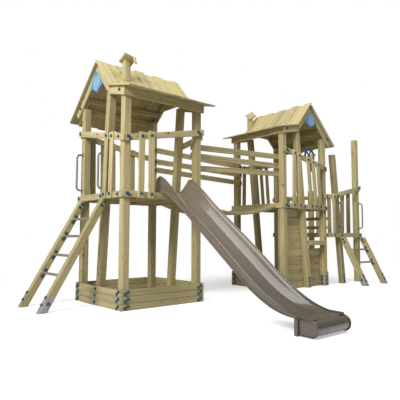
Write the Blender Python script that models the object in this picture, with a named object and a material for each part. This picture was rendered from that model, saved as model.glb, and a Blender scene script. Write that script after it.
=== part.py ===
"""Play tower: two crooked-roof towers, a hanging bridge, a slide, two ladders and a low side deck.

Plan used while modelling, in metres: the near left post of the left tower stands at x = 0, y = 0,
x runs to the right tower, y runs away from the slide, z is up from the ground. At the end all
pieces are moved so that the middle of the whole footprint is the origin.
"""
import math

import bmesh
import bpy
import numpy as np
from mathutils import Matrix, Vector

# Timber sizes
POST = 0.100
BOARD = 0.028
BOARD_HIGH = 0.087
SLAT = 0.022
SLAT_WIDE = 0.087
BEAM_HIGH = 0.085
POST_EDGE = 0.006
BOARD_EDGE = 0.003

# Fits
GAP = 0.0003
LET_IN = 0.001
CORNER_LET_IN = 0.005
PLANK_GAP = 0.008

# Tower layout
TOWER_LONG = 1.19
TOWER_DEEP = 1.11
SECOND_X = 3.17
DECK_Z = 1.50
LOW_DECK_Z = 0.99
POST_TOP = 2.79
RIM_COURSES = 3

# Side deck layout
SIDE_X = 5.56
SIDE_POST_TOP = 2.94
SIDE_BACK_TOP = 1.95
SIDE_LEAN = (4.99, 4.71, 2.53)

# Leaning posts: place at the ground, place at the top, height of the top
LEAN_FIRST = (0.605, 0.377, 2.87)
LEAN_SECOND = (0.680, 0.380, 2.85)

# Roof profiles (across, height) of the outer board faces: eave tip, knee, ridge, long eave
ROOF_FIRST = ((-0.27, 2.81), (0.26, 2.94), (0.64, 3.38), (1.46, 2.63))
ROOF_SECOND = ((-0.27, 2.81), (0.30, 2.93), (0.70, 3.39), (1.47, 2.67))
ROOF_FIRST_ENDS = (-0.12, 1.34)
ROOF_SECOND_ENDS = (-0.12, 1.25)
ROOF_BOARD = 0.019
ROOF_STRIPS = 9
EAVE_LOW = 2.725
PURLIN = 0.045
GABLE_FILL_Z = 2.945

# Ladders
LADDER_THICK = 0.084
LADDER_WIDE = 0.101
RUNG_RADIUS = 0.017
FLANGE_RADIUS = 0.034
FLANGE = 0.006

# Slide
SLIDE_MIDDLE = 0.775
SLIDE_HALF = 0.275
SLIDE_SHELL = 0.008
SLIDE_BEAD = 0.013

# Hanging bridge
BRIDGE_SAG = 0.155
BRIDGE_END_Z = 1.462
BRIDGE_PLANKS = 9
BRIDGE_PLANK = 0.087
BRIDGE_PLANK_THICK = 0.034
BRIDGE_SIDES = (0.10, 1.01)
BRIDGE_PIVOT_GAP = 0.014
STRAP_WIDE = 0.030
STRAP_THICK = 0.006

# Wheel
WHEEL_AT = (3.98, 2.42)
WHEEL_RADIUS = 0.130
WHEEL_TUBE = 0.011
WHEEL_SPOKES = 6
WHEEL_GRIP = 0.185
AXLE_RADIUS = 0.010
AXLE_PLAY = 0.0005

# Grab handles
HANDLE_RADIUS = 0.014
HANDLE_OUT = 0.090

FACE = POST / 2
INNER = FACE + GAP
OUTER = INNER + BOARD
SLAT_IN = OUTER + GAP
SLAT_OUT = SLAT_IN + SLAT
FAR_X = SECOND_X + TOWER_LONG

PINE = (0.58, 0.45, 0.24)
PALE_PINE = (0.63, 0.50, 0.29)
TAUPE = (0.20, 0.165, 0.135)
STEEL = (0.35, 0.36, 0.36)
TUBE = (0.22, 0.20, 0.18)
PETROL = (0.03, 0.12, 0.20)


def clear_scene():
    for item in list(bpy.data.objects):
        bpy.data.objects.remove(item, do_unlink=True)


def principled(name, colour, roughness, metallic):
    material = bpy.data.materials.new(name)
    material.use_nodes = True
    shader = material.node_tree.nodes["Principled BSDF"]
    shader.inputs["Base Color"].default_value = (*colour, 1.0)
    shader.inputs["Roughness"].default_value = roughness
    shader.inputs["Metallic"].default_value = metallic
    return material


def add_faces(mesh, points, faces):
    vertices = [mesh.verts.new(point) for point in points]
    made = [mesh.faces.new([vertices[index] for index in face]) for face in faces]
    bmesh.ops.recalc_face_normals(mesh, faces=made)
    return made


def prism(mesh, axes, outline, low, high, edge=BOARD_EDGE):
    """Closed prism: outline in the two named axes, from low to high along the third axis."""
    first, second = ["xyz".index(letter) for letter in axes]
    third = 3 - first - second
    count = len(outline)
    points = np.zeros((2 * count, 3))
    points[:, first] = np.tile([point[0] for point in outline], 2)
    points[:, second] = np.tile([point[1] for point in outline], 2)
    points[:count, third] = low
    points[count:, third] = high
    sides = [(i, (i + 1) % count, count + (i + 1) % count, count + i) for i in range(count)]
    faces = [tuple(range(count)), tuple(range(count, 2 * count))] + sides
    made = add_faces(mesh, points.tolist(), faces)
    if edge > 0:
        chamfer_long_edges(mesh, made, edge)


def chamfer_long_edges(mesh, made, edge):
    """Break the edges that run along the grain; the short edges of the sawn ends stay sharp."""
    edges = list({item for face in made for item in face.edges})
    longest = max(item.calc_length() for item in edges)
    chosen = [item for item in edges if item.calc_length() > 0.7 * longest]
    bmesh.ops.bevel(mesh, geom=chosen, offset=edge, offset_type="OFFSET", segments=1,
                    profile=0.5, affect="EDGES", clamp_overlap=True)


def box(mesh, x, y, z, edge=BOARD_EDGE):
    prism(mesh, "xy", [(x[0], y[0]), (x[1], y[0]), (x[1], y[1]), (x[0], y[1])], z[0], z[1], edge)


def lathe(mesh, profile, centre, axis, segments=24):
    """Closed round solid: profile of (radius, distance along the axis), radius 0 at both ends
    or a closed loop away from the axis."""
    turn = Vector((0, 0, 1)).rotation_difference(Vector(axis)).to_matrix()
    angles = [2 * math.pi * step / segments for step in range(segments)]
    rings = []
    for radius, along in profile:
        if radius < 1e-6:
            rings.append([mesh.verts.new(Vector(centre) + turn @ Vector((0, 0, along)))])
        else:
            rings.append([mesh.verts.new(Vector(centre) + turn @ Vector(
                (radius * math.cos(a), radius * math.sin(a), along))) for a in angles])
    closed = len(rings[0]) > 1
    pairs = list(zip(rings, rings[1:] + rings[:1])) if closed else list(zip(rings, rings[1:]))
    made = []
    for low, high in pairs:
        made += ring_faces(mesh, low, high, segments)
    bmesh.ops.recalc_face_normals(mesh, faces=made)
    for face in made:
        face.smooth = True


def ring_faces(mesh, low, high, segments):
    made = []
    for step in range(segments):
        after = (step + 1) % segments
        if len(low) == 1:
            made.append(mesh.faces.new((low[0], high[step], high[after])))
        elif len(high) == 1:
            made.append(mesh.faces.new((low[step], low[after], high[0])))
        else:
            made.append(mesh.faces.new((low[step], low[after], high[after], high[step])))
    return made


def tube(mesh, path, radius, segments=16):
    """Closed round bar along a path of points, with flat ends."""
    path = [Vector(point) for point in path]
    up = Vector((0, 0, 1)) if abs((path[1] - path[0]).normalized().z) < 0.9 else Vector((0, 1, 0))
    rings = []
    for index, point in enumerate(path):
        before = path[max(index - 1, 0)]
        after = path[min(index + 1, len(path) - 1)]
        along = (after - before).normalized()
        side = up.cross(along).normalized()
        other = along.cross(side)
        up = other
        rings.append([mesh.verts.new(point + radius * (math.cos(a) * side + math.sin(a) * other))
                      for a in np.linspace(0, 2 * math.pi, segments, endpoint=False)])
    made = []
    for low, high in zip(rings, rings[1:]):
        made += ring_faces(mesh, low, high, segments)
    for face in made:
        face.smooth = True
    made.append(mesh.faces.new(rings[0]))
    made.append(mesh.faces.new(rings[-1]))
    bmesh.ops.recalc_face_normals(mesh, faces=made)


def rounded_path(corners, radius, steps=6):
    """Corner points joined by straight runs, with each inner corner rounded by an arc."""
    corners = [Vector(corner) for corner in corners]
    path = [corners[0]]
    for before, corner, after in zip(corners, corners[1:], corners[2:]):
        into = (corner - before).normalized()
        out = (after - corner).normalized()
        half = into.angle(out) / 2
        back = radius * math.tan(half)
        centre = corner - into * back + (out - into * into.dot(out)).normalized() * radius
        start = corner - into * back - centre
        turn_axis = into.cross(out).normalized()
        for step in range(steps + 1):
            path.append(centre + Matrix.Rotation(2 * half * step / steps, 3, turn_axis) @ start)
    path.append(corners[-1])
    return path


def make_object(name, mesh, origin=(0, 0, 0)):
    data = bpy.data.meshes.new(name)
    bmesh.ops.translate(mesh, verts=mesh.verts, vec=-Vector(origin))
    mesh.to_mesh(data)
    mesh.free()
    item = bpy.data.objects.new(name, data)
    item.location = origin
    bpy.context.collection.objects.link(item)
    return item


def piece(name, material, groups, origin=(0, 0, 0)):
    """One named piece. Each group is a list of build steps whose solids stay apart; later
    groups are joined onto the first one where their solids are let in."""
    result = None
    for number, steps in enumerate(groups):
        mesh = bmesh.new()
        for step in steps:
            step(mesh)
        if number == 0:
            result = make_object(name, mesh, origin)
            result.data.materials.append(material)
            continue
        joined = make_object(name + "_join_" + str(number), mesh)
        joined.data.materials.append(material)
        joined.hide_render = True
        joined.display_type = "WIRE"
        joined.hide_set(True)
        union = result.modifiers.new("join " + str(number), "BOOLEAN")
        union.operation = "UNION"
        union.solver = "EXACT"
        union.object = joined
    return result


def part(function, *values, **named):
    """A build step that is run once the mesh exists."""
    def step(mesh):
        function(mesh, *values, **named)
    return step


def line_at(start, end, place):
    """Height of the straight line from start to end at a place across."""
    share = (place - start[0]) / (end[0] - start[0])
    return start[1] + share * (end[1] - start[1])


def lean_at(lean, height):
    return lean[0] + (lean[1] - lean[0]) * height / lean[2]


def meet(first, first_way, second, second_way):
    """Crossing of two lines, each given by a point and a direction."""
    matrix = np.array([first_way, -np.asarray(second_way)]).T
    share = np.linalg.solve(matrix, np.asarray(second) - np.asarray(first))[0]
    return np.asarray(first) + share * np.asarray(first_way)


# Posts


def upright_post(name, x, y, top, wood):
    steps = [part(box, (x - FACE, x + FACE), (y - FACE, y + FACE), (0, top), edge=POST_EDGE)]
    piece(name, wood, [steps])


def leaning_post(name, axes, lean, shift, middle, wood):
    """Slanting post in the plane of its corner posts, its foot and top sawn level."""
    half = FACE * math.hypot(lean[2], lean[0] - lean[1]) / lean[2]
    foot, top = lean[0] + shift, lean[1] + shift
    outline = [(foot - half, 0), (foot + half, 0), (top + half, lean[2]), (top - half, lean[2])]
    steps = [part(prism, axes, outline, middle - FACE, middle + FACE, edge=POST_EDGE)]
    piece(name, wood, [steps])


def build_posts(wood):
    for tower, shift, axes, lean in (("left_tower", 0, "yz", LEAN_FIRST),
                                     ("right_tower", SECOND_X, "xz", LEAN_SECOND)):
        for side, x in (("left", shift), ("right", shift + TOWER_LONG)):
            for depth, y in (("front", 0), ("back", TOWER_DEEP)):
                upright_post(f"{tower}_post_{depth}_{side}", x, y, POST_TOP, wood)
    leaning_post("left_tower_leaning_post_left", "yz", LEAN_FIRST, 0, 0, wood)
    leaning_post("left_tower_leaning_post_right", "yz", LEAN_FIRST, 0, TOWER_LONG, wood)
    leaning_post("right_tower_leaning_post_front", "xz", LEAN_SECOND, SECOND_X, 0, wood)
    leaning_post("right_tower_leaning_post_back", "xz", LEAN_SECOND, SECOND_X, TOWER_DEEP, wood)
    leaning_post("side_deck_leaning_post", "xz", SIDE_LEAN, 0, 0, wood)
    upright_post("side_deck_post_front_right", SIDE_X, 0, SIDE_POST_TOP, wood)
    upright_post("side_deck_post_back_right", SIDE_X, TOWER_DEEP, SIDE_BACK_TOP, wood)


# Plank rims round the feet of the towers


def plank_stack(mesh, axes, low, high, courses, start, end):
    """Edge-on planks stacked from the ground, drawn as one section with a groove at each joint."""
    edge = BOARD_EDGE
    rising = [(low + edge, 0)]
    falling = [(high - edge, 0)]
    for course in range(courses):
        bottom, top = course * BOARD_HIGH, (course + 1) * BOARD_HIGH
        rising += [(low, bottom + edge), (low, top - edge), (low + edge, top)]
        falling += [(high, bottom + edge), (high, top - edge), (high - edge, top)]
    prism(mesh, axes, rising + falling[::-1], start, end, edge=0)


def build_rim(name, shift, sides, wood):
    x_ends = (shift - OUTER, shift + TOWER_LONG + OUTER)
    back_face, front_face = TOWER_DEEP + INNER, -INNER
    long_stacks = [part(plank_stack, "yz", back_face, back_face + BOARD, RIM_COURSES, *x_ends)]
    cross_ends = (-FACE, back_face + CORNER_LET_IN)
    if "front" in sides:
        long_stacks.append(part(plank_stack, "yz", front_face - BOARD, front_face, RIM_COURSES,
                                *x_ends))
        cross_ends = (front_face - CORNER_LET_IN, cross_ends[1])
    cross_stacks = [part(plank_stack, "xz", low, low + BOARD - LET_IN, RIM_COURSES, *cross_ends)
                    for low in (x_ends[0] + LET_IN, x_ends[1] - BOARD)]
    piece(name, wood, [long_stacks, cross_stacks])


# Deck frames and floors


def beam_ring(x, y, top, wood, name, joists):
    """Four beams on the outer faces of the posts and the joists that carry the floor planks."""
    z = (top - BEAM_HIGH, top)
    x_out = (x[0] - OUTER, x[1] + OUTER)
    y_in = (y[0] - INNER - LET_IN, y[1] + INNER + LET_IN)
    joist_z = (top - BEAM_HIGH, top - SLAT - GAP)
    long_beams = [part(box, x_out, (y[0] - OUTER, y[0] - INNER), z),
                  part(box, x_out, (y[1] + INNER, y[1] + OUTER), z)]
    cross_beams = [part(box, (x[0] - OUTER, x[0] - INNER), y_in, z),
                   part(box, (x[1] + INNER, x[1] + OUTER), y_in, z)]
    cross_beams += [part(box, (place - PURLIN / 2, place + PURLIN / 2), y_in, joist_z)
                    for place in joists]
    piece(name, wood, [long_beams, cross_beams])


def floor_planks(name, x, y, top, count, obstacles, battens, wood):
    """Floor planks cut short where a post stands, held by battens underneath."""
    low, high = y[0] - FACE, y[1] + FACE
    pitch = (high - low + PLANK_GAP) / count
    planks = []
    for index in range(count):
        start = low + index * pitch
        end = start + pitch - PLANK_GAP
        left, right = x[0] - FACE, x[1] + FACE
        for where_x, where_y in obstacles:
            if end + GAP > where_y[0] and start - GAP < where_y[1]:
                if where_x[0] < (x[0] + x[1]) / 2:
                    left = max(left, where_x[1] + GAP)
                else:
                    right = min(right, where_x[0] - GAP)
        planks.append(part(box, (left, right), (start, end), (top - SLAT, top)))
    under = (top - SLAT - PURLIN, top - SLAT + LET_IN)
    cleats = [part(box, (place - PURLIN / 2, place + PURLIN / 2), (low + PLANK_GAP,
                   high - PLANK_GAP), under) for place in battens]
    piece(name, wood, [planks, cleats])


def corner_obstacles(x, y):
    return [((px - FACE, px + FACE), (py - FACE, py + FACE)) for px in x for py in y]


def build_decks(wood):
    """The frames and floors of both towers and of the low side deck."""
    y = (0, TOWER_DEEP)
    for tower, shift in (("left_tower", 0), ("right_tower", SECOND_X)):
        x = (shift, shift + TOWER_LONG)
        joists = [shift + TOWER_LONG * share for share in (0.25, 0.77)]
        battens = [shift + TOWER_LONG * share for share in (0.15, 0.5, 0.86)]
        beam_ring(x, y, DECK_Z, wood, tower + "_deck_frame", joists)
        obstacles = corner_obstacles(x, y)
        if shift == 0:
            middle = lean_at(LEAN_FIRST, DECK_Z)
            across = (middle - FACE - BOARD_EDGE, middle + FACE + BOARD_EDGE)
            obstacles += [((px - FACE, px + FACE), across) for px in x]
        floor_y = y
        if shift > 0:
            floor_y = (POST + GAP + PLANK_GAP, TOWER_DEEP - POST - GAP - PLANK_GAP)
            obstacles = []
            battens = [shift + TOWER_LONG * share for share in (0.12, 0.5, 0.90)]
        floor_planks(tower + "_floor", x, floor_y, DECK_Z, 10 if shift == 0 else 8, obstacles,
                     battens, wood)
    build_low_deck(wood)


def build_low_deck(wood):
    x_low = FAR_X + INNER
    top = LOW_DECK_Z
    z = (top - BEAM_HIGH, top)
    inside = (FAR_X + FACE + GAP, SIDE_X + OUTER)
    long_beams = [part(box, (FAR_X - FACE, inside[1]), (-OUTER, -INNER), z),
                  part(box, (FAR_X - FACE, inside[1]), (TOWER_DEEP + INNER, TOWER_DEEP + OUTER), z)]
    reach = (-INNER - LET_IN, TOWER_DEEP + INNER + LET_IN)
    joist_z = (top - BEAM_HIGH, top - SLAT - GAP)
    cross_beams = [part(box, (x_low, x_low + BOARD), reach, z),
                   part(box, (SIDE_X + INNER, SIDE_X + OUTER), reach, z)]
    cross_beams += [part(box, (x, x + PURLIN), reach, joist_z) for x in (4.70, 5.20)]
    piece("side_deck_frame", wood, [long_beams, cross_beams])
    x = (x_low + BOARD + GAP + FACE, SIDE_X)
    y = (POST + GAP + PLANK_GAP, TOWER_DEEP - POST - GAP - PLANK_GAP)
    floor_planks("side_deck_floor", x, y, top, 8, [], (4.60, 5.02, 5.40), wood)


# Railings


def rail(axes, start, end, out_low, out_high, high=BOARD_HIGH):
    """Sloping rail whose middle line runs from start to end in the wall plane."""
    half = high / 2
    outline = [(start[0], start[1] - half), (end[0], end[1] - half),
               (end[0], end[1] + half), (start[0], start[1] + half)]
    return part(prism, axes, outline, out_low, out_high)


def slat(axes, foot, head, low_z, high_z, slat_low, slat_high, wide=SLAT_WIDE):
    half = wide / 2
    outline = [(foot - half, low_z), (foot + half, low_z), (head + half, high_z),
               (head - half, high_z)]
    return part(prism, axes, outline, slat_low, slat_high)


def railing(name, axes, start, end, slats, face, outward, low_z, wood, above=0.012):
    """Rail on the outer faces of the posts with slats let into its outside, down over the beam."""
    rail_faces = sorted((face + outward * GAP, face + outward * (OUTER - FACE + GAP + LET_IN)))
    slat_faces = sorted((face + outward * (SLAT_IN - FACE), face + outward * (SLAT_OUT - FACE)))
    rails = [rail(axes, start, end, *rail_faces)]
    boards = []
    for foot, head in slats:
        top = line_at(start, end, head) + BOARD_HIGH / 2 + above
        boards.append(slat(axes, foot, head, low_z, top, *slat_faces))
    piece(name, wood, [rails, boards] if boards else [rails])


def build_railings(wood):
    """Every side's railing; each slat is given by its place at the foot and at the head."""
    low = DECK_Z - BEAM_HIGH
    back = TOWER_DEEP + FACE
    side = TOWER_LONG + FACE
    railing("left_tower_railing_left", "yz", (-OUTER, 2.175), (back + BOARD, 2.425),
            [(0.30, 0.235)], -FACE, -1, low, wood)
    railing("left_tower_railing_front", "xz", (-FACE, 2.175), (side + BOARD, 2.433),
            [(0.185, 0.195), (0.345, 0.340)], -FACE, -1, low, wood)
    railing("left_tower_railing_back", "xz", (-FACE, 2.400), (side, 2.185),
            [(0.17, 0.15), (0.34, 0.33), (0.51, 0.49), (0.69, 0.66), (0.86, 0.85), (1.03, 1.01)],
            back, 1, low, wood)
    railing("left_tower_railing_right", "yz", (-FACE, 2.37), (0.50, 2.28), [], side, 1, low, wood)
    x = SECOND_X
    railing("right_tower_railing_front", "xz", (x - FACE, 2.45), (x + side, 2.202),
            [(x + 0.13, x + 0.12), (x + 0.25, x + 0.27), (x + 0.79, x + 0.65),
             (x + 0.93, x + 0.81), (x + 1.08, x + 0.99)], -FACE, -1, low, wood)
    railing("right_tower_railing_back", "xz", (x - FACE, 2.20), (x + side, 2.43),
            [(x + 0.14, x + 0.16), (x + 0.28, x + 0.30), (x + 0.72, x + 0.62),
             (x + 0.87, x + 0.78), (x + 1.03, x + 0.95)], back, 1, low, wood)
    build_side_railings(wood, back)


def build_side_railings(wood, back):
    low = LOW_DECK_Z - BEAM_HIGH
    lean_x = lean_at(SIDE_LEAN, 1.70)
    faces = (-OUTER - LET_IN, -INNER)
    slat_faces = (-SLAT_OUT, -SLAT_IN)
    short = rail("xz", (FAR_X - FACE, 1.685), (lean_x + 0.03, 1.705), *faces)
    upper = rail("xz", (lean_x - 0.02, 1.735), (SIDE_X + OUTER, 1.935), *faces)
    board = slat("xz", 4.50, 4.485, low, 1.76, *slat_faces)
    piece("side_deck_railing_front", wood, [[short], [upper], [board]])
    railing("side_deck_railing_right", "yz", (-FACE, 1.90), (back, 1.74),
            [(0.16, 0.15), (0.31, 0.29), (0.46, 0.45), (0.61, 0.62), (0.77, 0.76), (0.92, 0.93)],
            SIDE_X + FACE, 1, low, wood)
    railing("side_deck_railing_back", "xz", (FAR_X - FACE, 1.68), (SIDE_X + FACE, 1.80),
            [(FAR_X + share, FAR_X + share - 0.012)
             for share in (0.17, 0.34, 0.51, 0.68, 0.85, 1.02)], back, 1, low, wood)


# Roofs


class RoofLines:
    """Underside lines of one roof's boards, found from the outline of their outer faces."""

    def __init__(self, profile):
        tip, knee, ridge, eave = [np.array(point) for point in profile]
        thick = 2 * ROOF_BOARD
        self.flare, self.flare_out = self.direction(tip, knee)
        self.steep, self.steep_out = self.direction(knee, ridge)
        self.long, self.long_out = self.direction(ridge, eave)
        tip_under = tip - self.flare_out * ROOF_BOARD
        knee_on_flare = knee - self.flare_out * ROOF_BOARD
        knee_on_steep = knee - self.steep_out * thick
        ridge_on_long = ridge - self.long_out * thick
        self.tip = tip_under
        self.knee = meet(knee_on_flare, self.flare, knee_on_steep, self.steep)
        self.ridge = meet(knee_on_steep, self.steep, ridge_on_long, self.long)
        self.eave = eave - self.long_out * thick

    @staticmethod
    def direction(start, end):
        way = (end - start) / np.linalg.norm(end - start)
        return way, np.array((-way[1], way[0]))

    def on_flare(self, height, place):
        """Point on the line parallel to the flare at this height, at a place across."""
        return meet(self.knee + self.flare_out * height, self.flare, (place, 0), (0, 1))

    def on_steep(self, height, place):
        return meet(self.knee + self.steep_out * height, self.steep, (place, 0), (0, 1))

    def on_long(self, height, place):
        return meet(self.ridge + self.long_out * height, self.long, (place, 0), (0, 1))


def shifted(outline, across):
    return [(float(point[0]) + across, float(point[1])) for point in outline]


def roof_boards(name, lines, axes, across, ends, seed, wood, steep):
    """Board-on-board slope: spaced lower boards with upper boards lapped over their gaps."""
    rng = np.random.default_rng(seed)
    pitch = (ends[1] - ends[0]) / ROOF_STRIPS
    lap = 0.018
    groups = [[], [], []]
    for strip in range(ROOF_STRIPS):
        upper = strip % 2 == 0
        base = ROOF_BOARD - LET_IN if upper else 0.0
        top = 2 * ROOF_BOARD - LET_IN if upper else ROOF_BOARD
        reach = 0.004 if upper else lap
        low = ends[0] + strip * pitch - (reach if strip > 0 else 0)
        high = ends[0] + (strip + 1) * pitch + (reach if strip < ROOF_STRIPS - 1 else 0)
        over, under = rng.uniform(0.0, 0.032, 2)
        if steep:
            outline = steep_outline(lines, base, top, 0.046 + over)
        else:
            outline = long_outline(lines, base, top, under)
        groups[int(upper)].append(part(prism, axes, shifted(outline, across), low, high,
                                       edge=0.002))
        if steep:
            outline = flare_outline(lines, under)
            low = ends[0] + strip * pitch + 0.003
            high = ends[0] + (strip + 1) * pitch - 0.003
            groups[2].append(part(prism, axes, shifted(outline, across), low, high, edge=0.002))
    piece(name, wood, groups if steep else groups[:2])


def steep_outline(lines, base, top, over):
    """Board from the flare boards, which it is let into, up past the ridge."""
    sink = lines.knee + lines.flare_out * (ROOF_BOARD / 2 - base / 6)
    low_base = meet(lines.knee + lines.steep_out * base, lines.steep, sink, lines.flare)
    low_top = meet(lines.knee + lines.steep_out * top, lines.steep, sink, lines.flare)
    high = lines.ridge + lines.steep * over
    return [low_base, high + lines.steep_out * base, high + lines.steep_out * top, low_top]


def flare_outline(lines, cut):
    foot = lines.tip + lines.flare * cut
    inner = lines.knee + lines.steep_out * 0.003
    under = meet(lines.knee, lines.flare, inner, lines.steep)
    above = meet(lines.knee + lines.flare_out * ROOF_BOARD, lines.flare, inner, lines.steep)
    return [foot, under, above, foot + lines.flare_out * ROOF_BOARD]


def long_outline(lines, base, top, cut):
    """Board from under the steep boards at the ridge down to its own uneven end."""
    back = lines.ridge - lines.steep_out * GAP
    start = meet(lines.ridge + lines.long_out * base, lines.long, back, lines.steep)
    start_top = meet(lines.ridge + lines.long_out * top, lines.long, back, lines.steep)
    end = lines.eave - lines.long * cut
    return [start, end + lines.long_out * base, end + lines.long_out * top, start_top]


def roof_frame(name, lines, axes, across, span, length, wood):
    """Barge boards on both gables, eave beams, purlins and the boarded far gable."""
    near, far = (-OUTER, -INNER), (length + INNER, length + OUTER)
    steep_barge = steep_barge_outline(lines)
    long_barge = long_barge_outline(lines, span)
    kick = kick_outline(lines)
    beam_top = float(lines.on_flare(-GAP, -OUTER)[1])
    back_top = float(lines.on_long(-GAP, span + OUTER)[1])
    front_beam = [(-OUTER, EAVE_LOW), (-INNER, EAVE_LOW), (-INNER, beam_top), (-OUTER, beam_top)]
    back_beam = [(span + INNER, back_top - BOARD_HIGH), (span + OUTER, back_top - BOARD_HIGH),
                 (span + OUTER, back_top), (span + INNER, back_top)]
    run = (-INNER - LET_IN, length + INNER + LET_IN)
    first = [part(prism, axes, shifted(steep_barge, across), *near),
             part(prism, axes, shifted(steep_barge, across), *far),
             part(prism, axes, shifted(front_beam, across), near[0], far[1]),
             part(prism, axes, shifted(back_beam, across), *run)]
    second = [part(prism, axes, shifted(outline, across), *place)
              for outline in (long_barge, kick) for place in (near, far)]
    third = [part(prism, axes, shifted(outline, across), *run) for outline in purlins(lines)]
    piece(name, wood, [first, second, third] + gable_fill(lines, axes, across, length))


def steep_barge_outline(lines):
    top = -GAP
    low = -GAP - BOARD_HIGH
    ridge = float(lines.ridge[0])
    foot = lines.knee - lines.steep * 0.012
    return [foot + lines.steep_out * low, lines.on_steep(low, ridge), lines.on_steep(top, ridge),
            foot + lines.steep_out * top + lines.steep * 0.02]


def long_barge_outline(lines, span):
    start = float(lines.ridge[0]) - LET_IN
    end = span + OUTER + 0.105
    foot = lines.on_long(-GAP, end)
    return [lines.on_long(-GAP - BOARD_HIGH, start), foot - lines.long_out * BOARD_HIGH, foot,
            lines.on_long(-GAP, start + 2 * LET_IN)]


def kick_outline(lines):
    """Short board under the flare, from the eave beam to the foot of the steep barge board."""
    inner = float(lines.knee[0]) + 0.035
    top_end = lines.on_flare(-GAP, float(lines.knee[0]) - 0.004)
    return [(-INNER - LET_IN, EAVE_LOW + 0.002), (inner, float(lines.knee[1]) - 0.105),
            (inner, float(lines.knee[1]) - 0.02), top_end, lines.on_flare(-GAP, -INNER - LET_IN)]


def purlins(lines):
    ridge = float(lines.ridge[0])
    half = PURLIN / 2
    top = min(float(lines.on_steep(-GAP, ridge - half)[1]), float(lines.on_long(-GAP, ridge + half)[1]))
    beam = [(ridge - half, top - BOARD_HIGH), (ridge + half, top - BOARD_HIGH),
            (ridge + half, top), (ridge - half, top)]
    knee = float(lines.knee[0])
    low = float(lines.on_flare(-GAP, knee - 0.055)[1])
    knee_beam = [(knee - 0.055, low - 0.06), (knee - 0.012, low - 0.06), (knee - 0.012, low),
                 (knee - 0.055, low)]
    place = (ridge + float(lines.eave[0])) / 2
    under = float(lines.on_long(-GAP, place + half)[1])
    middle = [(place - half, under - 0.07), (place + half, under - 0.07), (place + half, under),
              (place - half, under)]
    return [beam, knee_beam, middle]


def gable_fill(lines, axes, across, length):
    """Level boards that close the far gable, cut to the slopes behind the barge boards."""
    groups = [[], []]
    inset = -0.03
    top = float(lines.ridge[1]) - 0.10
    z = GABLE_FILL_Z
    number = 0
    while z < top:
        high = min(z + BOARD_HIGH, top) + LET_IN
        left = [meet(lines.knee + lines.steep_out * inset, lines.steep, (0, h), (1, 0))
                for h in (z, high)]
        right = [meet(lines.ridge + lines.long_out * inset, lines.long, (0, h), (1, 0))
                 for h in (z, high)]
        outline = [left[0], right[0], right[1], left[1]]
        groups[number % 2].append(part(prism, axes, shifted(outline, across),
                                       length + INNER - 0.020, length + INNER + LET_IN / 2,
                                       edge=0.002))
        z += BOARD_HIGH
        number += 1
    return groups


def chimney(name, lines, axes, across, along, outward, foot_share, head_turn, wood):
    """Upright stem on the steep slope with a crooked lid board and a short side flap."""
    foot = lines.knee + lines.steep * foot_share
    surface = 2 * ROOF_BOARD - LET_IN + GAP
    base = [lines.on_steep(surface, float(foot[0]) - 0.030),
            lines.on_steep(surface, float(foot[0]) + 0.030)]
    top = float(base[1][1]) + 0.150
    stem = [base[0], base[1], (float(base[1][0]), top), (float(base[0][0]), top)]
    angle, size, thick = math.radians(head_turn), 0.150, 0.026
    way = np.array((-math.cos(angle), math.sin(angle)))
    across_way = np.array((math.sin(angle), math.cos(angle)))
    start = np.array((float(base[1][0]) + 0.012, top - 0.040)) - way * 0.010
    lid = [start, start + way * size, start + way * size + across_way * thick,
           start + across_way * thick]
    end = start + way * size
    flap = [end - across_way * 0.085, end - across_way * 0.085 - way * 0.020,
            end - way * 0.020 + across_way * 0.004, end + across_way * 0.004]
    groups = [[part(prism, axes, shifted(stem, across), along - 0.048, along + 0.048)],
              [part(prism, axes, shifted(lid, across), along - 0.093, along + 0.093)]]
    flap_ends = (along + 0.060, along + 0.088) if outward > 0 else (along - 0.088, along - 0.060)
    groups.append([part(prism, axes, shifted(flap, across), *flap_ends)])
    piece(name, wood, groups)


def build_roofs(wood):
    """Both roofs; the first one's ridge runs along x and the second one's along y."""
    for tower, profile, axes, across, span, length, ends in (
            ("left_tower", ROOF_FIRST, "yz", 0, TOWER_DEEP, TOWER_LONG, ROOF_FIRST_ENDS),
            ("right_tower", ROOF_SECOND, "xz", SECOND_X, TOWER_LONG, TOWER_DEEP,
             ROOF_SECOND_ENDS)):
        lines = RoofLines(profile)
        seed = 3 if tower == "left_tower" else 8
        roof_frame(tower + "_roof_frame", lines, axes, across, span, length, wood)
        roof_boards(tower + "_roof_steep_slope", lines, axes, across, ends, seed, wood, True)
        roof_boards(tower + "_roof_long_slope", lines, axes, across, ends, seed + 1, wood, False)
        pitch = (ends[1] - ends[0]) / ROOF_STRIPS
        if tower == "left_tower":
            chimney(tower + "_chimney", lines, axes, across, ends[0] + 2.5 * pitch, 1, 0.20, 28,
                    wood)
        else:
            chimney(tower + "_chimney", lines, axes, across, ends[1] - 0.5 * pitch, -1, 0.20, 48,
                    wood)


# Ladders


def ladder_rail(axes, foot, slope, top, face, low, high):
    """Sloping side rail: its foot sawn level, its head sawn to the post's face and the beam."""
    outward = foot[0] if isinstance(foot, tuple) else foot
    inner = outward + math.copysign(LADDER_WIDE, face - outward)
    way = math.copysign(1.0, face - outward)
    outline = [(outward, 0), (inner, 0), (face, abs(face - inner) * slope), (face, top),
               (outward + way * top / slope, top)]
    return part(prism, axes, outline, low, high, edge=0.004)


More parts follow.
